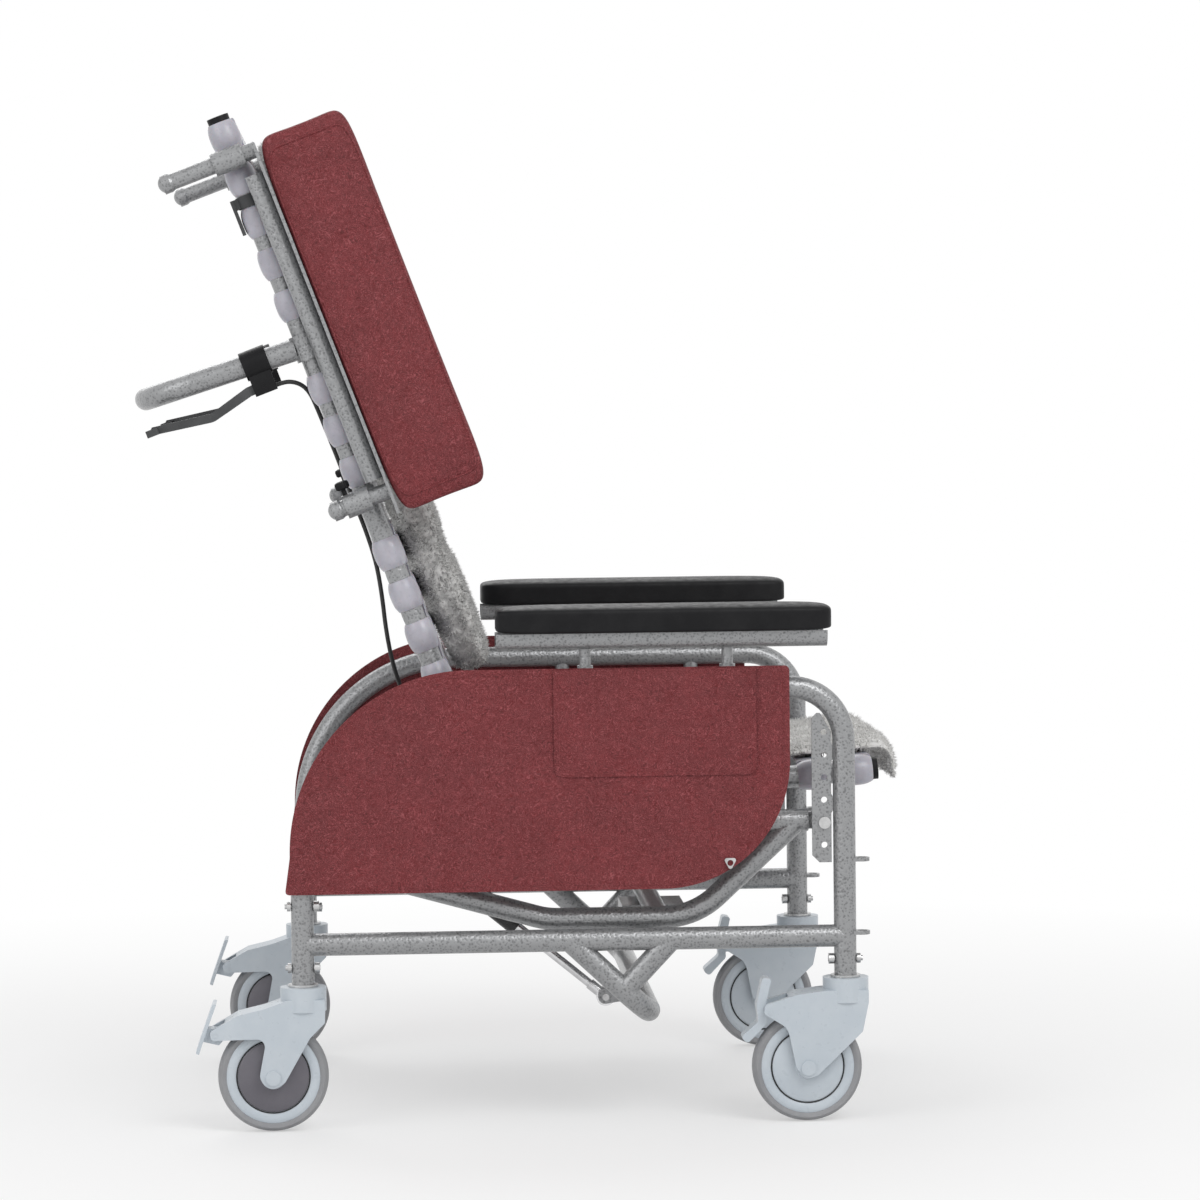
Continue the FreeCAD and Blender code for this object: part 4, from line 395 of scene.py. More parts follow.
HAMMERED = HammerPaint()
VINYL = CrackleVinyl()
THREAD = Moulded("burgundy_vinyl", (0.24, 0.055, 0.06), (0.33, 0.09, 0.10), 0.7, 1500.0, 0.0001,
                 0.2)
STRAP = StrapPlastic()
WHITE_FLEECE = FleecePile("white_fleece", (0.62, 0.61, 0.585), (0.88, 0.875, 0.86))
# The back pad's white fleece with painted shade: the same wool as the seat's, its colours darkened to
# stand in for the shade that falls on the back.
WHITE_FLEECE_IN_SHADE = FleecePile("grey_fleece", (0.33, 0.33, 0.325), (0.78, 0.775, 0.76))
BLACK_MOULDED = Moulded("black_moulded", (0.006, 0.006, 0.007), (0.015, 0.015, 0.016), 0.45,
                        shine=0.18)
CASTER_BLUE = Moulded("caster_grey", (0.52, 0.575, 0.625), (0.60, 0.645, 0.685), 0.33, 500.0, 0.0001)
COVER_DARK = Moulded("caster_grey", (0.128, 0.122, 0.142), (0.16, 0.152, 0.17), 0.42, 500.0, 0.0001)
TYRE_GREY = Moulded("tyre_grey", (0.275, 0.278, 0.290), (0.34, 0.34, 0.348), 0.6, 900.0, 0.0002)
ZINC = Metal("zinc", (0.62, 0.62, 0.62), 0.32)
LEVER_DARK = Moulded("black_moulded", (0.045, 0.046, 0.048), (0.085, 0.087, 0.09), 0.42, shine=0.4)
BLACK_LACQUER = Metal("black_lacquer", (0.018, 0.018, 0.019), 0.3, 0.2)
BRIGHT_ROD = Metal("bright_rod", (0.78, 0.78, 0.79), 0.12)
BLACK_RUBBER = Moulded("black_rubber", (0.012, 0.012, 0.012), (0.03, 0.03, 0.03), 0.5)


# Surfaces on grids


def surface(name: str, points: np.ndarray, wrap_rows: bool = False, wrap_columns: bool = True,
            closed_ends: bool = True) -> bpy.types.Object:
    """Skin over a grid of points: each cell of the grid is one face.

    Args:
        name: the piece's name.
        points: rows by columns by 3, in metres.
        wrap_rows: the last row joins the first.
        wrap_columns: the last column joins the first.
        closed_ends: a fan of triangles closes the first and the last row.

    Returns:
        The mesh object, smooth and with its faces outwards.
    """
    rows, columns = points.shape[:2]
    index = np.arange(rows * columns).reshape(rows, columns)
    down = np.roll(index, -1, axis=0) if wrap_rows else index[1:]
    here = index if wrap_rows else index[:-1]
    if wrap_columns:
        quads = np.stack([here, np.roll(here, -1, 1), np.roll(down, -1, 1), down], -1)
    else:
        quads = np.stack([here[:, :-1], here[:, 1:], down[:, 1:], down[:, :-1]], -1)
    vertices = points.reshape(-1, 3)
    faces = quads.reshape(-1, 4).tolist()
    if closed_ends and not wrap_rows:
        poles = np.stack([points[0].mean(0), points[-1].mean(0)])
        for pole, ring in ((len(vertices), index[0]), (len(vertices) + 1, index[-1])):
            fan = np.stack([ring, np.roll(ring, -1), np.full(columns, pole)], -1)
            faces += fan.tolist()
        vertices = np.concatenate([vertices, poles])
    mesh = bpy.data.meshes.new(name)
    mesh.from_pydata(vertices.tolist(), [], faces)
    return tidied(name, mesh)


def tidied(name: str, mesh: bpy.types.Mesh, sharp: float = 40.0) -> bpy.types.Object:
    """Merge doubles, point the faces outwards and shade the mesh smooth.

    Args:
        name: the piece's name.
        mesh: the mesh.
        sharp: edges bent by more than this many degrees stay sharp.

    Returns:
        An object of the mesh, linked to the scene.
    """
    work = bmesh.new()
    work.from_mesh(mesh)
    bmesh.ops.remove_doubles(work, verts=work.verts, dist=WELD)
    bmesh.ops.dissolve_degenerate(work, edges=work.edges, dist=WELD / 10)
    bmesh.ops.recalc_face_normals(work, faces=work.faces)
    work.to_mesh(mesh)
    work.free()
    mesh.polygons.foreach_set("use_smooth", np.ones(len(mesh.polygons), dtype=bool))
    mesh.set_sharp_from_angle(angle=math.radians(sharp))
    return linked(name, mesh)


def read_points(mesh: bpy.types.Mesh) -> np.ndarray:
    """The mesh's vertices as an array of points."""
    flat = np.empty(len(mesh.vertices) * 3)
    mesh.vertices.foreach_get("co", flat)
    return flat.reshape(-1, 3)


def linked(name: str, data: bpy.types.ID) -> bpy.types.Object:
    """An object of the data, linked to the scene."""
    thing = bpy.data.objects.new(name, data)
    bpy.context.scene.collection.objects.link(thing)
    return thing


def merged(name: str, pieces: list[bpy.types.Object]) -> bpy.types.Object:
    """Join pieces into one mesh object, keeping each piece's shading."""
    work = bmesh.new()
    for piece in pieces:
        work.from_mesh(piece.data)
    mesh = bpy.data.meshes.new(name)
    work.to_mesh(mesh)
    work.free()
    for piece in pieces:
        bpy.data.objects.remove(piece)
    return linked(name, mesh)


def ring_angles(count: int) -> np.ndarray:
    """Angles of a ring of points."""
    return np.linspace(0.0, TURN, count, endpoint=False)


def turned(name: str, centre: tuple[float, float, float], axis: tuple[float, float, float],
           profile: list[tuple[float, float]], steps: int = 64,
           closed: bool = False) -> bpy.types.Object:
    """A surface of revolution.

    Each profile point is (radius, distance along the axis); a ring of points is drawn at
    each, at angle a: centre + axis h + r (cos a, sin a) across the axis.

    Args:
        name: the piece's name.
        centre: a point on the axis.
        axis: the axis direction.
        profile: radius and height of each ring.
        steps: points round each ring.
        closed: the profile is a closed loop, as on a tyre.

    Returns:
        The turned piece.
    """
    along = Vector(axis).normalized()
    across = along.orthogonal().normalized()
    third = along.cross(across)
    angle = ring_angles(steps)[None, :, None]
    radius = np.array([r for r, _ in profile])[:, None, None]
    height = np.array([h for _, h in profile])[:, None, None]
    points = (np.array(centre) + height * np.array(along)
              + radius * (np.cos(angle) * np.array(across) + np.sin(angle) * np.array(third)))
    return surface(name, points, wrap_rows=closed, closed_ends=not closed)


def piped(name: str, path: np.ndarray, radius: float, steps: int = 10,
          loop: bool = False) -> bpy.types.Object:
    """A round section carried along a path of points.

    The section at each point lies across the path's direction; its sideways vector is
    square to the path and to a fixed slanting vector, or to a second one where the path runs close to
    the first.
    kept as near as it can be to that of the point before.

    Args:
        name: the piece's name.
        path: the points.
        radius: the section's radius.
        steps: points round the section.
        loop: the path closes on itself.

    Returns:
        The piped piece.
    """
    if loop:
        ahead = np.roll(path, -1, 0) - np.roll(path, 1, 0)
    else:
        ahead = np.gradient(path, axis=0)
    ahead /= np.linalg.norm(ahead, axis=1)[:, None]
    side = np.cross(ahead, np.array([0.0, 0.31, 0.95]))
    flip = np.cross(ahead, np.array([0.95, 0.0, 0.31]))
    side = np.where(np.linalg.norm(side, axis=1)[:, None] > 0.2, side, flip)
    side /= np.linalg.norm(side, axis=1)[:, None]
    other = np.cross(ahead, side)
    angle = ring_angles(steps)[None, :, None]
    points = path[:, None, :] + radius * (np.cos(angle) * side[:, None, :]
                                          + np.sin(angle) * other[:, None, :])
    return surface(name, points, wrap_rows=loop, closed_ends=not loop)


def rounded_outline(corners: list[tuple[float, ...]], step: float = 0.004) -> np.ndarray:
    """Points round a closed outline whose corners are rounded.

    Each corner is (x, z, radius); its arc touches both runs, and points lie on the arc
    and on the run that follows it at about the given spacing.

    Args:
        corners: the outline's corners in order.
        step: spacing of the points.

    Returns:
        The points, in the outline's plane.
    """
    flat = [Vector((c[0], c[1])) for c in corners]
    pieces = []
    for i, corner in enumerate(corners):
        before = (flat[i] - flat[i - 1]).normalized()
        after = (flat[(i + 1) % len(flat)] - flat[i]).normalized()
        bend = before.angle_signed(after) * -1.0
        radius = max(corner[2], 1e-5)
        reach = radius * math.tan(abs(bend) / 2)
        start = flat[i] - before * reach
        normal = Vector((-before.y, before.x)) * math.copysign(1.0, bend)
        middle = start + normal * radius
        count = max(2, int(abs(bend) * radius / step) + 2)
        sweep = np.linspace(0.0, bend, count)
        arm = np.array(start - middle)
        turned_arm = np.stack([arm[0] * np.cos(sweep) - arm[1] * np.sin(sweep),
                               arm[0] * np.sin(sweep) + arm[1] * np.cos(sweep)], -1)
        pieces.append(turned_arm + np.array(middle))
    loop = []
    for i, piece in enumerate(pieces):
        following = pieces[(i + 1) % len(pieces)][0]
        gap = np.linalg.norm(following - piece[-1])
        count = max(1, int(gap / step))
        run = piece[-1] + (following - piece[-1]) * np.linspace(0, 1, count, endpoint=False)[1:, None]
        loop += [piece, run]
    return np.concatenate(loop)


def board(name: str, outline: np.ndarray, inner: float, outer: float, soft: float,
          lift: float = 0.0) -> bpy.types.Object:
    """A board in an XZ plane with soft edges, its outer face slightly crowned.

    Rings shrink from the outline to its centre on either face; near the rim the
    thickness follows a quarter circle of radius soft.

    Args:
        name: the piece's name.
        outline: points of the outline.
        inner: Y of the inner face.
        outer: Y of the outer face.
        soft: radius of the edges.
        lift: crown of the outer face.

    Returns:
        The board.
    """
    centre = outline.mean(0)
    reach = np.linalg.norm(outline - centre, axis=1)[:, None]
    middle = (inner + outer) / 2
    half = (outer - inner) / 2
    quarter = np.linspace(0.0, math.pi / 2, 6)
    inset = np.concatenate([soft * (1 - np.sin(quarter)), [soft]])[:-1]
    depth = abs(half) - soft + soft * np.cos(quarter)
    rows = []
    fractions = np.linspace(0.0, 1.0, 14)[:-1]
    for sign in (-1.0, 1.0):
        rings = []
        for f in fractions:
            flat = centre + (outline - centre) * f * (1 - soft / reach)
            crown = lift * (1 - f ** 2) if sign > 0 else 0.0
            y = middle + half * sign + math.copysign(crown, half)
            rings.append(np.stack([flat[:, 0], np.full(len(flat), y), flat[:, 1]], -1))
        for q in range(len(quarter)):
            flat = centre + (outline - centre) * (1 - inset[::-1][q] / reach)
            y = middle + math.copysign(depth[q], half) * sign
            rings.append(np.stack([flat[:, 0], np.full(len(flat), y), flat[:, 1]], -1))
        rows.append(rings if sign < 0 else rings[::-1])
    points = np.array(rows[0] + rows[1])
    return surface(name, points, closed_ends=False)


def block_form(half: tuple[float, float, float], power: float, rows: int = 72,
               columns: int = 144) -> np.ndarray:
    """Unit box with rounded edges, as points on rays from its centre.

    A ray in direction d meets |x|^n + |y|^n + |z|^n = 1 at d / (sum |d|^n)^(1/n), which is
    then stretched by the half sizes.  A larger n gives a squarer form.

    Args:
        half: half sizes along X, Y and Z.
        power: n.
        rows: rings from pole to pole.
        columns: points in each ring.

    Returns:
        Points, rows by columns by 3.
    """
    rise = np.linspace(-math.pi / 2, math.pi / 2, rows)[:, None]
    around = ring_angles(columns)[None, :]
    ray = np.stack([np.cos(rise) * np.cos(around), np.cos(rise) * np.sin(around),
                    np.sin(rise) * np.ones_like(around)], -1)
    length = (np.abs(ray) ** power).sum(-1) ** (-1.0 / power)
    return ray * length[..., None] * np.array(half)


def waves(points: np.ndarray, seeds: int, size: float, count: int = 7) -> np.ndarray:
    """Smooth unevenness: a sum of sine waves in seeded directions.

    Args:
        points: any array of points.
        seeds: seed of the directions.
        size: length of the waves in metres.
        count: number of waves.

    Returns:
        A value for each point, within about -1 to 1.
    """
    draw = np.random.default_rng(seeds)
    total = np.zeros(points.shape[:-1])
    for _ in range(count):
        direction = draw.normal(size=3)
        direction *= TURN / size / np.linalg.norm(direction) * draw.uniform(0.6, 1.5)
        total += np.sin(points @ direction + draw.uniform(0.0, TURN))
    return total / math.sqrt(count) * 0.7


# Placing and dressing


@dataclass(frozen=True)
class Lean:
    """A leaning frame: along runs up the part, out runs square to it, forwards."""

    x: float
    z: float
    angle: float

    def world(self, local: np.ndarray) -> np.ndarray:
        """Turn points (out, y, along) into the row frame.

        Args:
            local: points in the leaning frame.

        Returns:
            The same points in the row frame.
        """
        out, y, along = local[..., 0], local[..., 1], local[..., 2]
        cosine, sine = math.cos(self.angle), math.sin(self.angle)
        return np.stack([self.x + out * cosine - along * sine, y,
                         self.z + out * sine + along * cosine], -1)

    def point(self, out: float, y: float, along: float) -> tuple[float, float, float]:
        """One point of the leaning frame in the row frame."""
        return tuple(self.world(np.array([out, y, along])))

    @property
    def up(self) -> tuple[float, float, float]:
        """Direction along the part."""
        return (-math.sin(self.angle), 0.0, math.cos(self.angle))

    @property
    def forward(self) -> tuple[float, float, float]:
        """Direction square to the part."""
        return (math.cos(self.angle), 0.0, math.sin(self.angle))


class Chair:
    """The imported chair, and the calls that every sub-assembly makes on it."""

    def __init__(self) -> None:
        """Load the frame and read the places of its joints."""
        self.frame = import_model()
        self.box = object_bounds()
        self.joints = {j["name"]: j for j in self.frame["record"]["behaviour"]["joints"]}
        hinge = self.joints["recline"]["pos_m"]
        slide = self.joints["wing_right_slide"]["axis"]
        self.back = Lean(hinge[0], hinge[2], math.atan2(slide[2], slide[0]))
        self.seat = Lean(hinge[0], hinge[2], SEAT_SLOPE)

    def dress(self, node: str, finish: Finish) -> None:
        """Give a node of the solids its finish."""
        thing = self.frame["nodes"][node]
        thing.data.materials.clear()
        thing.data.materials.append(finish.material())
        LOG.info("finish on %s", node)

    def fit(self, piece: bpy.types.Object, finish: Finish, body: str,
            stands_for: tuple[str, ...] = ()) -> bpy.types.Object:
        """Give a new piece its finish and body, and hide the nodes that it replaces.

        Args:
            piece: the piece, in place.
            finish: its finish.
            body: the body that it rides on.
            stands_for: nodes that it replaces.

        Returns:
            The piece.
        """
        piece.data.materials.clear()
        piece.data.materials.append(finish.material())
        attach(piece, body)
        if stands_for:
            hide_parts(*stands_for)
        LOG.info("piece %s rides on %s", piece.name, body)
        return piece


@dataclass
class SteelWork:
    """The tubes, bolts and springs that keep their solids and get their finish."""

    chair: Chair
    lacquered: tuple[str, ...] = ("side_frame_right", "side_frame_left", "under_brace",
                                  "rear_cross_tube", "height_plates", "tie_down_loops",
                                  "arm_sockets", "tilt_frame", "seat_frame", "back_frame",
                                  "push_bar", "wing_frame_right", "wing_frame_left",
                                  "arm_frame_right", "arm_frame_left", "wing_sleeves")
    plated: tuple[str, ...] = ("frame_bolts", "caster_stems", "panel_rings", "seat_pivot_bolts")

    def build(self) -> None:
        """Dress each node."""
        for node in self.lacquered:
            self.chair.dress(node, HAMMERED)
        for node in self.plated:
            self.chair.dress(node, ZINC)
        for node in ("seat_plugs", "back_plugs", "lever_housings"):
            self.chair.dress(node, BLACK_MOULDED)
        for node in ("tilt_lever", "recline_lever", "strap_buckle"):
            self.chair.dress(node, LEVER_DARK)
        for node in ("tilt_spring_cylinder", "recline_spring_cylinder"):
            self.chair.dress(node, BLACK_LACQUER)
        for node in ("tilt_spring_rod", "recline_spring_rod"):
            self.chair.dress(node, BRIGHT_ROD)


@dataclass
class SidePanels:
    """Vinyl covered side panels with a stitched rim, and their pocket flaps."""

    chair: Chair
    rear_arc: float = 0.205
    front_arc: float = 0.144
    rear_flare: float = 0.006
    flare_rise: float = 0.042
    edge: float = 0.0019
    stitch_pitch: float = 0.0042
    thread: float = 0.0006
    seam_in: float = 0.007
    flap_seam_in: float = 0.006
    flap_corner: float = 0.011
    ripple: float = 0.0007
    ripple_long: float = 0.16
    post_half: float = 0.009
    post_wide: float = 0.011
    post_bulge: float = 0.0022
    post_deep: float = 0.10

    def outline(self, side: Side) -> np.ndarray:
        """Outline of a panel from its solid's box, with its two large arcs."""
        low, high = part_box(f"side_panel_{side.word}")
        rear, front, bottom, top = low[0] + self.rear_flare, high[0], low[2], high[2]
        return rounded_outline([(low[0], bottom, 0.004), (rear, bottom + self.flare_rise, 0.03),
                                (rear, top, self.rear_arc), (front, top, 0.005),
                                (front, bottom, self.front_arc)], 0.003)

    def build(self) -> None:
        """Make both panels, their seams and flaps."""
        for side in Side:
            self.build_panel(side)
            self.build_flap(side)

    def build_panel(self, side: Side) -> None:
        """The covered panel: the cloth rises a little between its rim and the posts."""
        name = f"side_panel_{side.word}"
        low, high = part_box(name)
        inner, outer = (low[1], high[1]) if side is Side.LEFT else (high[1], low[1])
        outline = self.outline(side)
        panel = board(f"{name}_cover", outline, inner, outer, self.edge)
        points = read_points(panel.data)
        on_face = np.abs(points[:, 1] - outer) < 0.0004
        depth = self.ripple * waves(points, 11 if side is Side.LEFT else 12, self.ripple_long)
        below_top = np.clip((points[:, 2] - high[2] + self.post_deep) / 0.09, 0.0, 1.0)
        for x in self.post_places():
            nearness = np.exp(-((points[:, 0] - x) / self.post_wide) ** 2) * below_top
            depth = depth + self.post_bulge * nearness
        rim = np.clip((np.abs(points[:, 2] - high[2]) - 0.003) / 0.02, 0.0, 1.0)
        points[:, 1] += side.value * on_face * np.clip(depth, -0.001, 0.0024) * rim
        panel.data.vertices.foreach_set("co", points.reshape(-1))
        self.chair.fit(panel, VINYL, "base", (name,))
        self.build_hem(side, outline, outer)

    def post_places(self) -> tuple[float, float]:
        """X of the rear and the front arm post, from the box of the sockets."""
        low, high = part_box("arm_sockets")
        return low[0] + self.post_half, high[0] - self.post_half

    def build_hem(self, side: Side, outline: np.ndarray, outer: float) -> None:
        """Stitch row along the whole rim, a little inside it."""
        centre = outline.mean(0)
        away = outline - centre
        inside = outline - away / np.linalg.norm(away, axis=1)[:, None] * self.seam_in
        self.sew(f"panel_stitches_{side.word}", inside, outer + side.value * 0.0004)

    def sew(self, name: str, path: np.ndarray, y: float) -> None:
        """Sew a closed seam along points of an XZ plane."""
        seam = np.stack([path[:, 0], np.full(len(path), y), path[:, 1]], -1)
        self.chair.fit(stitches(name, seam, self.stitch_pitch, self.thread, True), THREAD, "base")

    def build_flap(self, side: Side) -> None:
        """Pocket flap with rounded lower corners, sewn along its sides and foot."""
        low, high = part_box("pocket_flaps")
        rear, front, bottom, top = low[0], high[0], low[2], high[2]
        panel_low, panel_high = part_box(f"side_panel_{side.word}")
        inner = panel_high[1] if side is Side.LEFT else panel_low[1]
        outer = side.value * high[1]
        corners = [(rear, bottom, self.flap_corner), (rear, top, 0.002), (front, top, 0.002),
                   (front, bottom, self.flap_corner)]
        outline = rounded_outline(corners[::-1], 0.003)
        flap = board(f"pocket_flap_{side.word}", outline, inner, outer, 0.0009, 0.0008)
        self.chair.fit(flap, VINYL, "base", ("pocket_flaps",))
        gap = self.flap_seam_in
        inset = [(rear + gap, bottom + gap, 0.008), (rear + gap, top - 0.004, 0.002),
                 (front - gap, top - 0.004, 0.002), (front - gap, bottom + gap, 0.008)]
        path = rounded_outline(inset[::-1], 0.002)
        self.sew(f"flap_stitches_{side.word}", path, outer + side.value * 0.0003)


def stitches(name: str, path: np.ndarray, pitch: float, radius: float,
             loop: bool = False) -> bpy.types.Object:
    """A row of short thread stitches laid along a path.

    Each stitch is a four-sided spindle over six tenths of the pitch.

    Args:
        name: the piece's name.
        path: points of the seam.
        pitch: length of one stitch and its gap.
        radius: half the thread's thickness.
        loop: the seam closes on itself.

    Returns:
        One mesh with every stitch.
    """
    route = np.concatenate([path, path[:1]]) if loop else path
    steps = np.linalg.norm(np.diff(route, axis=0), axis=1)
    distance = np.concatenate([[0.0], np.cumsum(steps)])
    count = int(distance[-1] / pitch)
    starts = np.arange(count) * distance[-1] / count
    shape = np.array([0.0, 0.15, 0.45, 0.6])
    thick = np.array([0.15, 1.0, 1.0, 0.15])
    at = starts[:, None] + shape[None, :] * pitch
    centre = np.stack([np.interp(at, distance, route[:, k]) for k in range(3)], -1)
    ahead = centre[:, -1] - centre[:, 0]
    ahead /= np.linalg.norm(ahead, axis=1)[:, None]
    side = np.cross(ahead, np.array([0.03, 1.0, 0.02]))
    side /= np.linalg.norm(side, axis=1)[:, None]
    other = np.cross(ahead, side)
    angle = ring_angles(4)
    ring = (np.cos(angle)[None, :, None] * side[:, None, :]
            + np.sin(angle)[None, :, None] * other[:, None, :])
    points = centre[:, :, None, :] + radius * thick[None, :, None, None] * ring[:, None, :, :]
    vertices = points.reshape(-1, 3)
    cell = np.arange(16).reshape(4, 4)
    quads = np.stack([cell[:-1], np.roll(cell[:-1], -1, 1), np.roll(cell[1:], -1, 1), cell[1:]], -1)
    one = np.concatenate([quads.reshape(-1, 4), cell[:1], cell[-1:, ::-1]])
    faces = (np.arange(count)[:, None, None] * 16 + one[None]).reshape(-1, 4)
    mesh = bpy.data.meshes.new(name)
    mesh.from_pydata(vertices.tolist(), [], faces.tolist())
    return tidied(name, mesh, 80.0)


@dataclass
class Straps:
    """Flexible straps wound over two tubes: a bulging sleeve on either tube and a band."""

    chair: Chair
    tube: float = 0.0127
    thick: float = 0.0045
    wide: float = 0.035
    rim: float = 0.0012
    pitch: float = 0.0506
    out: float = 0.228
    seat_start: float = 0.1702
    back_start: float = 0.2123
    seat_places: tuple[int, ...] = (-2, -1, 1, 2, 4, 5)
    back_places: tuple[int, ...] = (-2, -1, 0, 1, 2, 4, 5, 6, 8, 9, 10, 11, 12)

    def sleeve(self, name: str, lean: Lean, y: float, along: float, seat: bool) -> bpy.types.Object:
        """One bulging sleeve: its radius swells from the tube to its middle."""
        t = np.linspace(0.0, 1.0, 13)
        bulge = self.thick + 0.0004 - self.rim
        swell = self.tube + self.rim + bulge * (1 - np.abs(2 * t - 1) ** 2.6)
        height = (t - 0.5) * self.wide
        inner = np.full(2, self.tube + 0.0001)
        radius = np.concatenate([inner[:1], swell, inner[1:]])
        level = np.concatenate([[-self.wide / 2], height, [self.wide / 2]])
        centre = lean.point(along, y, 0.0) if seat else lean.point(0.0, y, along)
        axis = lean.forward if seat else lean.up
        profile = list(zip(radius, level))
        return turned(name, centre, axis, profile, 40, closed=True)

    def band(self, name: str, lean: Lean, along: float, seat: bool) -> bpy.types.Object:
        """The band between the sleeves: a flat oval section, waisted a little."""
        y = np.linspace(-self.out, self.out, 49)
        angle = ring_angles(20)
        across = np.sign(np.cos(angle)) * np.abs(np.cos(angle)) ** 0.35
        deep = np.sign(np.sin(angle)) * np.abs(np.sin(angle)) ** 0.6
        waist = self.wide / 2 * (1.0 - 0.10 * (1 - (y / self.out) ** 2))
        level = self.tube + self.thick / 2
        first = along + waist[:, None] * across[None, :]
        second = level + self.thick / 2 * 0.9 * deep[None, :] * np.ones_like(waist)[:, None]
        third = np.repeat(y[:, None], len(angle), 1)
        local = np.stack([first, third, second], -1) if seat else np.stack([second, third, first], -1)
        return surface(name, lean.world(local))

    def strap(self, name: str, lean: Lean, along: float, seat: bool) -> bpy.types.Object:
        """One whole strap."""
        parts = [self.sleeve("sleeve", lean, s.value * self.out, along, seat) for s in Side]
        parts.append(self.band("band", lean, along, seat))
        return merged(name, parts)

    def build(self) -> None:
        """Wind the seat and the back."""
        for place in self.seat_places:
            along = self.seat_start + place * self.pitch
            piece = self.strap(f"seat_strap_{place + 3}", self.chair.seat, along, True)
            self.chair.fit(piece, STRAP, "seat", ("seat_straps",))
        for place in self.back_places:
            along = self.back_start + place * self.pitch
            piece = self.strap(f"back_strap_{place + 3}", self.chair.back, along, False)
            self.chair.fit(piece, STRAP, "backrest", ("back_straps",))


@dataclass
class Wings:
    """Padded head wings: a boxed cushion on its board, with welted seams."""

    chair: Chair
    rear: float = 0.029
    front: float = 0.139
    low: float = 0.350
    top: float = 0.804
    inner: float = 0.236
    thick: float = 0.054
    power: float = 9.0
    welt: float = 0.0014
    seam_in: float = 0.017
    front_pull: float = 0.0028
    end_pull: float = 0.0024
    fold: float = 0.0009
    crease: float = 0.0003

    def build(self) -> None:
        """Make both wings."""
        for side in Side:
            self.build_wing(side)

    def centre(self, side: Side) -> np.ndarray:
        """Centre of the cushion in the back's frame."""
        return np.array([(self.rear + self.front) / 2, side.value * (self.inner + self.thick / 2),
                         (self.low + self.top) / 2])

    def shaped(self, local: np.ndarray, seed: int) -> np.ndarray:
        """Crown both faces, pull the sides in between the corners and ruffle the cover."""
        half = self.half()
        u, y, v = (local[..., k] / half[k] for k in range(3))
        crown = (1 - np.abs(u) ** 2.5) * (1 - np.abs(v) ** 4)
        pull = self.front_pull * (1 - np.abs(v) ** 3) * np.sign(u) * np.clip(u, 0.0, 1.0) ** 4
        out = local.copy()
        out[..., 1] *= 0.80 + 0.20 * crown
        out[..., 0] -= pull
        out[..., 2] -= self.end_pull * np.sign(v) * np.abs(v) ** 6 * (1 - np.abs(u) ** 2)
        fold = waves(local, seed, 0.075) * self.fold + waves(local, seed + 1, 0.03) * self.crease
        out[..., 1] += fold * np.sign(y) * np.clip(np.abs(y) * 2 - 1, 0, 1)
        return out

    def half(self) -> tuple[float, float, float]:
        """Half sizes of the cushion."""
        return ((self.front - self.rear) / 2, self.thick / 2, (self.top - self.low) / 2)

    def build_wing(self, side: Side) -> None:
        """The cushion and a welt round each face."""
        body = f"wing_{side.word}"
        seed = 21 + side.value
        form = self.shaped(block_form(self.half(), self.power, 120, 128), seed)
        place = self.chair.back.world(form + self.centre(side))
        cushion = surface(f"wing_cushion_{side.word}", place, closed_ends=False)
        self.chair.fit(cushion, VINYL, body, (f"wing_pad_{side.word}",))
        angle = ring_angles(360)
        ray = np.stack([np.cos(angle), np.sin(angle)], -1)
        reach = (np.abs(ray) ** self.power).sum(-1) ** (-1.0 / self.power)
        edge = 0.5 ** (1.0 / self.power)
        flat = ray * reach[:, None] * edge
        half = self.half()
        for face in (-1.0, 1.0):
            local = np.stack([flat[:, 0] * half[0], np.full(len(angle), face * edge * half[1]),
                              flat[:, 1] * half[2]], -1)
            path = self.chair.back.world(self.shaped(local, seed) + self.centre(side))
            word = "outer" if face * side.value > 0 else "inner"
            welt = piped(f"wing_welt_{word}_{side.word}", path, self.welt, 8, True)
            self.chair.fit(welt, VINYL, body)
            self.build_seam(side, face, word, seed)

    def build_seam(self, side: Side, face: float, word: str, seed: int) -> None:
        """Stitch row along the rear edge of one face, following its crown."""
        half = self.half()
        v = np.linspace(-0.86, 0.86, 240) * half[2]
        u = np.full(len(v), -half[0] + self.seam_in)
        share = (np.abs(np.stack([u / half[0], v / half[2]])) ** self.power).sum(0)
        y = face * half[1] * (1 - share) ** (1.0 / self.power)
        local = np.stack([u, y, v], -1)
        path = self.chair.back.world(self.shaped(local, seed) + self.centre(side))
        path[:, 1] += face * 0.0003
        thread = stitches(f"wing_stitches_{word}_{side.word}", path, 0.0045, 0.0006)
        self.chair.fit(thread, THREAD, f"wing_{side.word}")


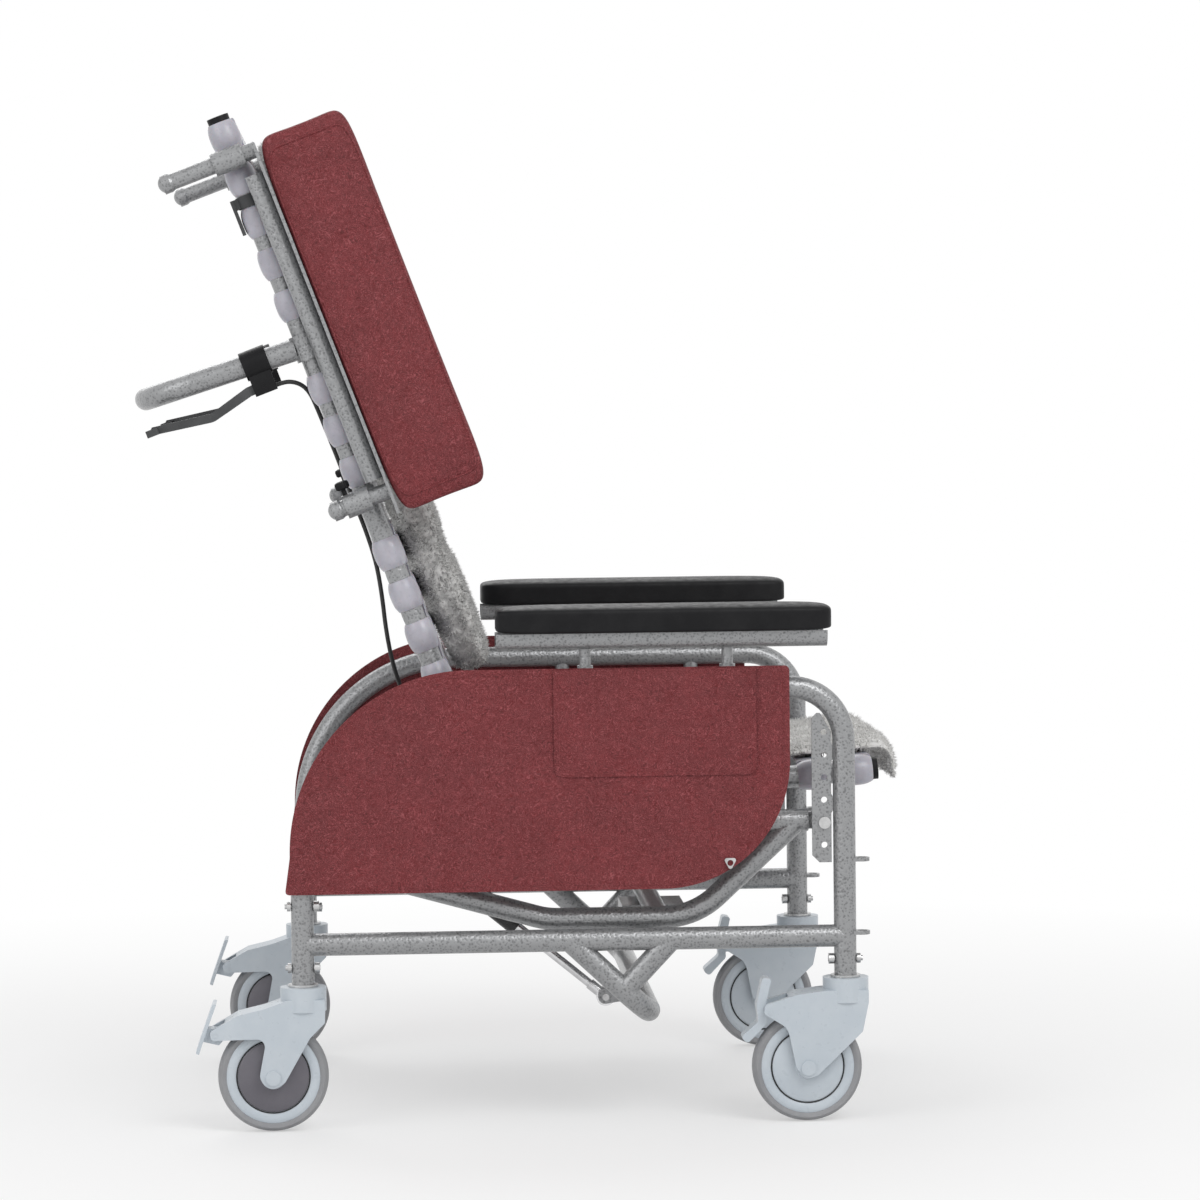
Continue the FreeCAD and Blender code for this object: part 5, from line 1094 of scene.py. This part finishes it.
@dataclass
class Fleeces:
    """Fleece pads of the seat and the back, with their pile."""

    chair: Chair
    pile: float = 0.0062
    rest: float = 0.0182
    seat_half: float = 0.205
    seat_thick: float = 0.0135
    seat_rear: float = 0.028
    seat_front: float = 0.449
    seat_bend: float = 0.014
    seat_drop: float = -0.015
    seat_tufts: int = 26000
    back_half: float = 0.193
    back_low: float = 0.145
    back_top: float = 0.802
    back_deep: float = 0.052
    hollow: float = 0.008
    tuck: float = 0.005
    waist: float = 0.006
    back_tufts: int = 42000

    def build(self) -> None:
        """Make both pads and their pile."""
        self.build_seat()
        self.build_back()

    def seat_form(self) -> np.ndarray:
        """The seat pad: a soft section carried from the rear edge, over the front and down.

        The section at each station is a flat rounded box across the path: half its
        width along Y, its thickness along the path's normal.
        """
        low, bend, front = self.rest, self.seat_bend, self.seat_front
        flat = np.linspace(self.seat_rear, front, 90)
        arc = np.linspace(0.0, math.pi / 2, 14)[1:]
        fall = np.linspace(low - bend, self.seat_drop, 9)[1:]
        s = np.concatenate([flat, front + bend * np.sin(arc), np.full(len(fall), front + bend)])
        t = np.concatenate([np.full(len(flat), low), low - bend + bend * np.cos(arc), fall])
        slope = np.concatenate([np.zeros(len(flat)), arc, np.full(len(fall), math.pi / 2)])
        distance = np.concatenate([[0.0], np.cumsum(np.hypot(np.diff(s), np.diff(t)))])
        f = distance / distance[-1]
        taper = np.clip(np.minimum(f, 1 - f) / 0.035, 0.0, 1.0)
        taper = np.sqrt(1 - (1 - taper) ** 2) * 0.94 + 0.06
        angle = ring_angles(140)
        ray = np.stack([np.cos(angle), np.sin(angle)], -1)
        reach = (np.abs(ray) ** 5.0).sum(-1) ** (-1.0 / 5.0)
        y = ray[:, 0] * reach * self.seat_half
        up = ray[:, 1] * reach
        thick = self.seat_thick * (0.72 + 0.28 * (1 - (y / self.seat_half) ** 4))
        rise = thick[None, :] / 2 * (1 + up[None, :] * taper[:, None])
        x = s[:, None] + np.sin(slope)[:, None] * rise
        z = t[:, None] + np.cos(slope)[:, None] * rise
        spread = np.repeat(y[None, :], len(s), 0) * (0.985 + 0.015 * taper[:, None])
        return np.stack([x, spread, z], -1)

    def build_seat(self) -> None:
        """The seat pad, clumped on top."""
        local = self.seat_form()
        points = self.chair.seat.world(local)
        pad = surface("seat_fleece", points)
        clump(pad, 31, 0.0016)
        self.chair.fit(pad, WHITE_FLEECE, "seat", ("seat_pad",))
        self.chair.fit(pile("seat_pile", pad, self.seat_tufts, self.pile, 41), WHITE_FLEECE, "seat")

    def build_back(self) -> None:
        """The back pad: a thick quilted form, hollowed across the middle."""
        half = (self.back_deep / 2, self.back_half, (self.back_top - self.back_low) / 2)
        form = block_form(half, 5.0, 130, 150)
        y = form[..., 1] / half[1]
        v = form[..., 2] / half[2]
        front = np.clip(form[..., 0] / half[0], 0.0, 1.0)
        form[..., 0] -= front * self.hollow * np.clip(1 - np.abs(v) * 1.1, 0, 1)
        form[..., 0] -= front * self.tuck * np.exp(-((v + 0.55) / 0.05) ** 2)
        form[..., 1] -= np.sign(y) * self.waist * (1 - v ** 2) * np.abs(y) ** 4
        centre = np.array([self.rest + half[0], 0.0, (self.back_low + self.back_top) / 2])
        pad = surface("back_fleece", self.chair.back.world(form + centre), closed_ends=False)
        clump(pad, 33, 0.0022)
        # The back pad and its pile take the white fleece darkened with painted shade.
        self.chair.fit(pad, WHITE_FLEECE_IN_SHADE, "backrest", ("back_pad",))
        wool = pile("back_pile", pad, self.back_tufts, self.pile * 1.15, 43)
        self.chair.fit(wool, WHITE_FLEECE_IN_SHADE, "backrest")


def clump(piece: bpy.types.Object, seed: int, depth: float) -> None:
    """Push a pad's surface in and out along its normals, in clumps of two sizes."""
    points = read_points(piece.data)
    normal = np.empty(len(points) * 3)
    piece.data.vertex_normals.foreach_get("vector", normal)
    shift = depth * (waves(points, seed, 0.05) + 0.6 * waves(points, seed + 1, 0.018)) - depth
    points += normal.reshape(-1, 3) * shift[:, None]
    piece.data.vertices.foreach_set("co", points.reshape(-1))
    piece.data.update()


def pile(name: str, pad: bpy.types.Object, count: int, length: float,
         seed: int) -> bpy.types.Object:
    """Wool pile: leaning three-sided tufts spread evenly over a pad.

    Faces are drawn by area, a point is drawn in each, and a tuft of three triangles
    rises along the face's normal, bent by slow waves and by chance.

    Args:
        name: the piece's name.
        pad: the pad that carries the pile.
        count: number of tufts.
        length: mean length of a tuft.
        seed: seed of the draws.

    Returns:
        One mesh with every tuft.
    """
    draw = np.random.default_rng(seed)
    mesh = pad.data
    mesh.calc_loop_triangles()
    size = len(mesh.loop_triangles)
    corner = np.empty(size * 3, dtype=np.int64)
    mesh.loop_triangles.foreach_get("vertices", corner)
    shape = read_points(mesh)[corner.reshape(-1, 3)]
    cross = np.cross(shape[:, 1] - shape[:, 0], shape[:, 2] - shape[:, 0])
    area = np.linalg.norm(cross, axis=1)
    chosen = draw.choice(size, size=count, p=area / area.sum())
    share = draw.random((count, 2))
    share = np.where(share.sum(1)[:, None] > 1, 1 - share, share)
    base = (shape[chosen, 0] + share[:, :1] * (shape[chosen, 1] - shape[chosen, 0])
            + share[:, 1:] * (shape[chosen, 2] - shape[chosen, 0]))
    normal = cross[chosen] / np.maximum(area[chosen], 1e-12)[:, None]
    comb = np.stack([waves(base, seed + k, 0.045) for k in range(3)], -1)
    heading = normal + 0.55 * comb + 0.35 * draw.normal(size=(count, 3))
    heading /= np.linalg.norm(heading, axis=1)[:, None]
    side = np.cross(heading, np.array([0.3, 0.9, 0.2]))
    side /= np.linalg.norm(side, axis=1)[:, None]
    other = np.cross(heading, side)
    tall = length * draw.uniform(0.55, 1.25, count)[:, None]
    wide = TUFT_WIDE * draw.uniform(0.7, 1.3, count)[:, None]
    root = base - normal * TUFT_ROOT
    vertices = np.stack([root + wide * side, root - 0.5 * wide * side + 0.87 * wide * other,
                         root - 0.5 * wide * side - 0.87 * wide * other, root + tall * heading], 1)
    one = np.array([[0, 1, 3], [1, 2, 3], [2, 0, 3], [0, 2, 1]])
    faces = (np.arange(count)[:, None, None] * 4 + one[None]).reshape(-1, 3)
    wool = bpy.data.meshes.new(name)
    wool.from_pydata(vertices.reshape(-1, 3).tolist(), [], faces.tolist())
    wool.polygons.foreach_set("use_smooth", np.ones(len(wool.polygons), dtype=bool))
    return linked(name, wool)


@dataclass
class Armrests:
    """Moulded arm pads with a crowned top."""

    chair: Chair
    power: float = 7.0
    crown: float = 0.0035

    def build(self) -> None:
        """Make both pads."""
        for side in Side:
            node = f"arm_pad_{side.word}"
            low, high = (np.array(corner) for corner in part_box(node))
            half = (high - low) / 2
            form = block_form(tuple(half), self.power, 60, 200)
            y, z = form[..., 1] / half[1], form[..., 2] / half[2]
            form[..., 2] -= np.clip(z, 0, 1) * self.crown * (np.abs(y) ** 2.5)
            form[..., 2] = np.where(z < 0, -half[2] + (form[..., 2] + half[2]) * 0.55,
                                    form[..., 2])
            pad = surface(f"arm_pad_cushion_{side.word}", form + (low + high) / 2, closed_ends=False)
            self.chair.fit(pad, BLACK_MOULDED, f"arm_{side.word}", (node,))


@dataclass
class Casters:
    """Caster wheels, forks and brake pedals."""

    chair: Chair
    wheel: float = 0.0625
    tread: float = 0.0137
    rim: float = 0.053
    shoulder: float = 0.0045
    groove: float = 0.0022
    cover_section: tuple[tuple[float, float], ...] = (
        (0.0062, 0.0128), (0.012, 0.0132), (0.020, 0.0122), (0.0385, 0.0118), (0.0402, 0.0108),
        (0.0402, 0.0098), (0.0062, 0.0098))
    ring_section: tuple[tuple[float, float], ...] = (
        (0.0405, 0.0111), (0.0412, 0.0117), (0.0419, 0.0111), (0.0412, 0.0104))

    def build(self) -> None:
        """Dress the four casters."""
        for end in ("rear", "front"):
            for side in Side:
                self.build_caster(end, side)

    def build_caster(self, end: str, side: Side) -> None:
        """One caster: turned tyre and hub, and the fork and pedal in their finishes."""
        label = f"caster_{end}_{side.word}"
        joint = self.chair.joints[f"roll_{end}_{side.word}"]
        centre = tuple(joint["pos_m"])
        body = f"wheel_{end}_{side.word}"
        across = (0.0, 1.0, 0.0)
        arc = np.linspace(-1.0, 1.0, 21)
        tread = [(self.wheel - self.shoulder * abs(a) ** 3.2, self.tread * a) for a in arc]
        wall = [(self.rim + 0.003, self.tread - 0.0003), (self.rim, self.tread - self.groove),
                (self.rim, -self.tread + self.groove), (self.rim + 0.003, -self.tread + 0.0003)]
        tyre = turned(f"{label}_tyre_tread", centre, across, tread + wall, 96, closed=True)
        self.chair.fit(tyre, TYRE_GREY, body, (f"{label}_tyre",))
        hub = turned(f"{label}_rim", centre, across, self.hub_profile(), 96, closed=True)
        self.chair.fit(hub, CASTER_BLUE, body, (f"{label}_hub",))
        cover_finish = COVER_DARK if end == "rear" else CASTER_BLUE
        for face in (-1.0, 1.0):
            word = "outer" if face == side.value else "inner"
            for part, profile, finish in (("cover", self.cover_section, cover_finish),
                                          ("ring", self.ring_section, BLACK_RUBBER)):
                section = [(radius, face * height) for radius, height in profile]
                piece = turned(f"{label}_{part}_{word}", centre, across, section, 72, closed=True)
                self.chair.fit(piece, finish, body)
        self.chair.dress(f"{label}_fork", CASTER_BLUE)
        self.chair.dress(f"{label}_pedal", CASTER_BLUE)

    def hub_profile(self) -> list[tuple[float, float]]:
        """Closed section of the hub: barrel, dished web and rim."""
        side = [(0.00505, 0.0154), (0.0125, 0.0154), (0.0138, 0.0140), (0.0145, 0.0105),
                (0.041, 0.0095), (0.0435, 0.0118), (0.0505, 0.0124), (0.0529, 0.0112)]
        return side + [(r, -h) for r, h in side[::-1]]


@dataclass
class SmallFittings:
    """Lobed clamp knobs of the wings."""

    chair: Chair
    behind: float = -0.022
    out: float = 0.262
    level: float = 0.3945
    lobe: float = 0.11
    profile: tuple[tuple[float, float], ...] = (
        (0.0028, 0.0), (0.0028, 0.006), (0.0062, 0.0064), (0.0078, 0.008), (0.0080, 0.0125),
        (0.0072, 0.0150), (0.0040, 0.0160))

    def build(self) -> None:
        """Make both knobs: rings of five lobes on a round stem."""
        lean = self.chair.back
        angle = ring_angles(60)
        up, forward = np.array(lean.up), np.array(lean.forward)
        round_the_stem = (np.cos(angle)[:, None] * forward
                          + np.sin(angle)[:, None] * np.cross(up, forward))
        lobes = 1.0 + self.lobe * np.cos(5 * angle)
        pieces = []
        for side in Side:
            foot = np.array(lean.point(self.behind, side.value * self.out, self.level))
            rings = []
            for radius, height in self.profile:
                reach = radius * (lobes if radius > 0.005 else np.ones_like(lobes))
                rings.append(foot + height * up + reach[:, None] * round_the_stem)
            pieces.append(surface(f"knob_{side.word}", np.array(rings)))
        knobs = merged("clamp_knobs", pieces)
        self.chair.fit(knobs, BLACK_MOULDED, "backrest", ("wing_knobs",))


@dataclass
class ReleaseCable:
    """The release cable from the lever housing down to the back's lower cross tube."""

    chair: Chair
    diameter: float = 0.005
    length: float = 0.517
    route: tuple[tuple[float, float, float], ...] = (
        (-0.0487, -0.2280, 0.5380), (-0.0390, -0.2280, 0.5379), (-0.0290, -0.2270, 0.5339),
        (-0.0212, -0.2230, 0.5264), (-0.0168, -0.2155, 0.5154), (-0.0158, -0.2085, 0.4980),
        (-0.0155, -0.2048, 0.4700), (-0.0151, -0.2032, 0.4320), (-0.0159, -0.2030, 0.3920),
        (-0.0153, -0.2025, 0.3500), (-0.0175, -0.2015, 0.3090), (-0.0255, -0.1990, 0.2700),
        (-0.0360, -0.1950, 0.2310), (-0.0435, -0.1890, 0.1900), (-0.0450, -0.1820, 0.1500),
        (-0.0390, -0.1750, 0.1130), (-0.0270, -0.1695, 0.0820), (-0.0117, -0.1650, 0.0575))

    def build(self) -> None:
        """Lay the cable on one smooth line."""
        points = [self.chair.back.point(*place) for place in self.route]
        curve = bpy.data.curves.new("release_cable_line", "CURVE")
        curve.dimensions = "3D"
        curve.bevel_depth = self.diameter / 2
        curve.bevel_resolution = 6
        curve.resolution_u = 16
        curve.use_fill_caps = True
        spline = curve.splines.new("NURBS")
        spline.points.add(len(points) - 1)
        for knot, place in zip(spline.points, points):
            knot.co = (*place, 1.0)
        spline.order_u = 3
        spline.use_endpoint_u = True
        cable = linked("release_cable_line", curve)
        self.chair.fit(cable, BLACK_RUBBER, "backrest", ("release_cable",))


@dataclass
class Studio:
    """Pale floor, soft lamps and the camera of the photograph."""

    chair: Chair
    eye: tuple[float, float, float] = (-0.25229, -5.71174, 0.89838)
    yaw: float = 0.0529
    pitch: float = -0.0557
    roll: float = -0.0113
    focal_pixels: float = 4815.76
    frame_pixels: float = 1200.0
    sensor: float = 36.0
    ahead: float = 0.0523
    shade_reach: float = 0.55
    white_reach: float = 1.9
    floor_glow: float = 0.45
    floor_reach: float = 30.0
    floor_drop: float = -0.0004
    world_glow: float = 0.55
    lamps: tuple[tuple[str, tuple[float, float, float], float, float], ...] = (
        ("key", (1.6, -3.0, 3.2), 62.0, 2.2), ("fill", (-2.6, -2.4, 1.8), 26.0, 2.4),
        ("rear", (-0.6, 2.6, 2.8), 34.0, 2.4))
    aim: tuple[float, float, float] = (0.0, 0.0, 0.5)

    def build(self) -> None:
        """Set the floor, the light and the camera."""
        self.build_camera()
        self.build_floor()
        self.build_light()

    def build_camera(self) -> None:
        """Camera from the fitted eye, yaw, pitch and roll."""
        forward = Vector((math.sin(self.yaw) * math.cos(self.pitch),
                          math.cos(self.yaw) * math.cos(self.pitch), math.sin(self.pitch)))
        level = Vector((math.cos(self.yaw), -math.sin(self.yaw), 0.0))
        over = level.cross(forward)
        right = level * math.cos(self.roll) + over * math.sin(self.roll)
        up = over * math.cos(self.roll) - level * math.sin(self.roll)
        lens = bpy.data.cameras.new("camera")
        lens.sensor_width = self.sensor
        lens.sensor_fit = "HORIZONTAL"
        lens.lens = self.focal_pixels / self.frame_pixels * self.sensor
        lens.clip_end = 60.0
        camera = linked("camera", lens)
        turn = Matrix((right, up, -forward)).transposed().to_4x4()
        place = Vector(self.eye) + Vector((self.ahead, 0.0, 0.0))
        camera.matrix_world = Matrix.Translation(place) @ turn
        bpy.context.scene.camera = camera

    def build_floor(self) -> None:
        """A wide pale floor that stays white to the camera and keeps the shadow."""
        reach, level = self.floor_reach, self.floor_drop
        grid = np.array([[[-reach, -reach, level], [reach, -reach, level]],
                         [[-reach, reach, level], [reach, reach, level]]])
        floor = surface("floor", grid, wrap_columns=False, closed_ends=False)
        paint = bpy.data.materials.new("floor_white")
        paint.use_nodes = True
        tree = paint.node_tree
        tree.nodes.clear()
        diffuse = added(tree, "BsdfDiffuse", Color=(0.9, 0.9, 0.9, 1.0)).outputs["BSDF"]
        glow = added(tree, "Emission", Color=WHITE, Strength=1.0).outputs["Emission"]
        place = added(tree, "TexCoord").outputs["Object"]
        far = added(tree, "VectorMath", Vector=place)
        far.operation = "LENGTH"
        fade = added(tree, "MapRange", Value=far.outputs["Value"], From_Min=self.shade_reach,
                     From_Max=self.white_reach, To_Min=self.floor_glow)
        share = added(tree, "Math", Value=self.seen_ray(tree))
        share.operation = "MULTIPLY"
        tree.links.new(fade.outputs["Result"], share.inputs[1])
        both = self.mixed(tree, share.outputs[0], diffuse, glow)
        added(tree, "OutputMaterial", Surface=both)
        floor.data.materials.append(paint)
        floor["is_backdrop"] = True

    def mixed(self, tree: bpy.types.NodeTree, share: bpy.types.NodeSocket,
              first: bpy.types.NodeSocket, second: bpy.types.NodeSocket) -> bpy.types.NodeSocket:
        """Mix two shaders by a share."""
        mix = added(tree, "MixShader", Fac=share)
        tree.links.new(first, mix.inputs[1])
        tree.links.new(second, mix.inputs[2])
        return mix.outputs["Shader"]

    def seen_ray(self, tree: bpy.types.NodeTree) -> bpy.types.NodeSocket:
        """1 for camera, glossy and transmission rays, else 0."""
        path = added(tree, "LightPath")
        total = path.outputs["Is Camera Ray"]
        for name in ("Is Glossy Ray", "Is Transmission Ray"):
            larger = added(tree, "Math", Value=total)
            larger.operation = "MAXIMUM"
            tree.links.new(path.outputs[name], larger.inputs[1])
            total = larger.outputs[0]
        return total

    def build_light(self) -> None:
        """White world, a large key lamp from the upper front and a fill from the rear."""
        world = bpy.data.worlds.new("studio")
        bpy.context.scene.world = world
        world.use_nodes = True
        tree = world.node_tree
        tree.nodes.clear()
        soft, white = (added(tree, "Background", Color=WHITE, Strength=strength).outputs[0]
                       for strength in (self.world_glow, 1.0))
        added(tree, "OutputWorld", Surface=self.mixed(tree, self.seen_ray(tree), soft, white))
        for name, place, power, size in self.lamps:
            lamp = bpy.data.lights.new(name, "AREA")
            lamp.energy = power
            lamp.size = size
            holder = linked(name, lamp)
            aim = Vector(self.aim) - Vector(place)
            holder.matrix_world = (Matrix.Translation(Vector(place))
                                   @ aim.to_track_quat("-Z", "Y").to_matrix().to_4x4())
        bpy.context.scene.view_settings.view_transform = "Standard"


def main() -> None:
    """Dress the chair piece by piece."""
    logging.basicConfig(level=logging.INFO, format="%(name)s %(message)s")
    chair = Chair()
    Studio(chair).build()
    ReleaseCable(chair).build()
    SteelWork(chair).build()
    SidePanels(chair).build()
    Straps(chair).build()
    Wings(chair).build()
    Fleeces(chair).build()
    Armrests(chair).build()
    Casters(chair).build()
    SmallFittings(chair).build()


if __name__ == "__main__":
    main()
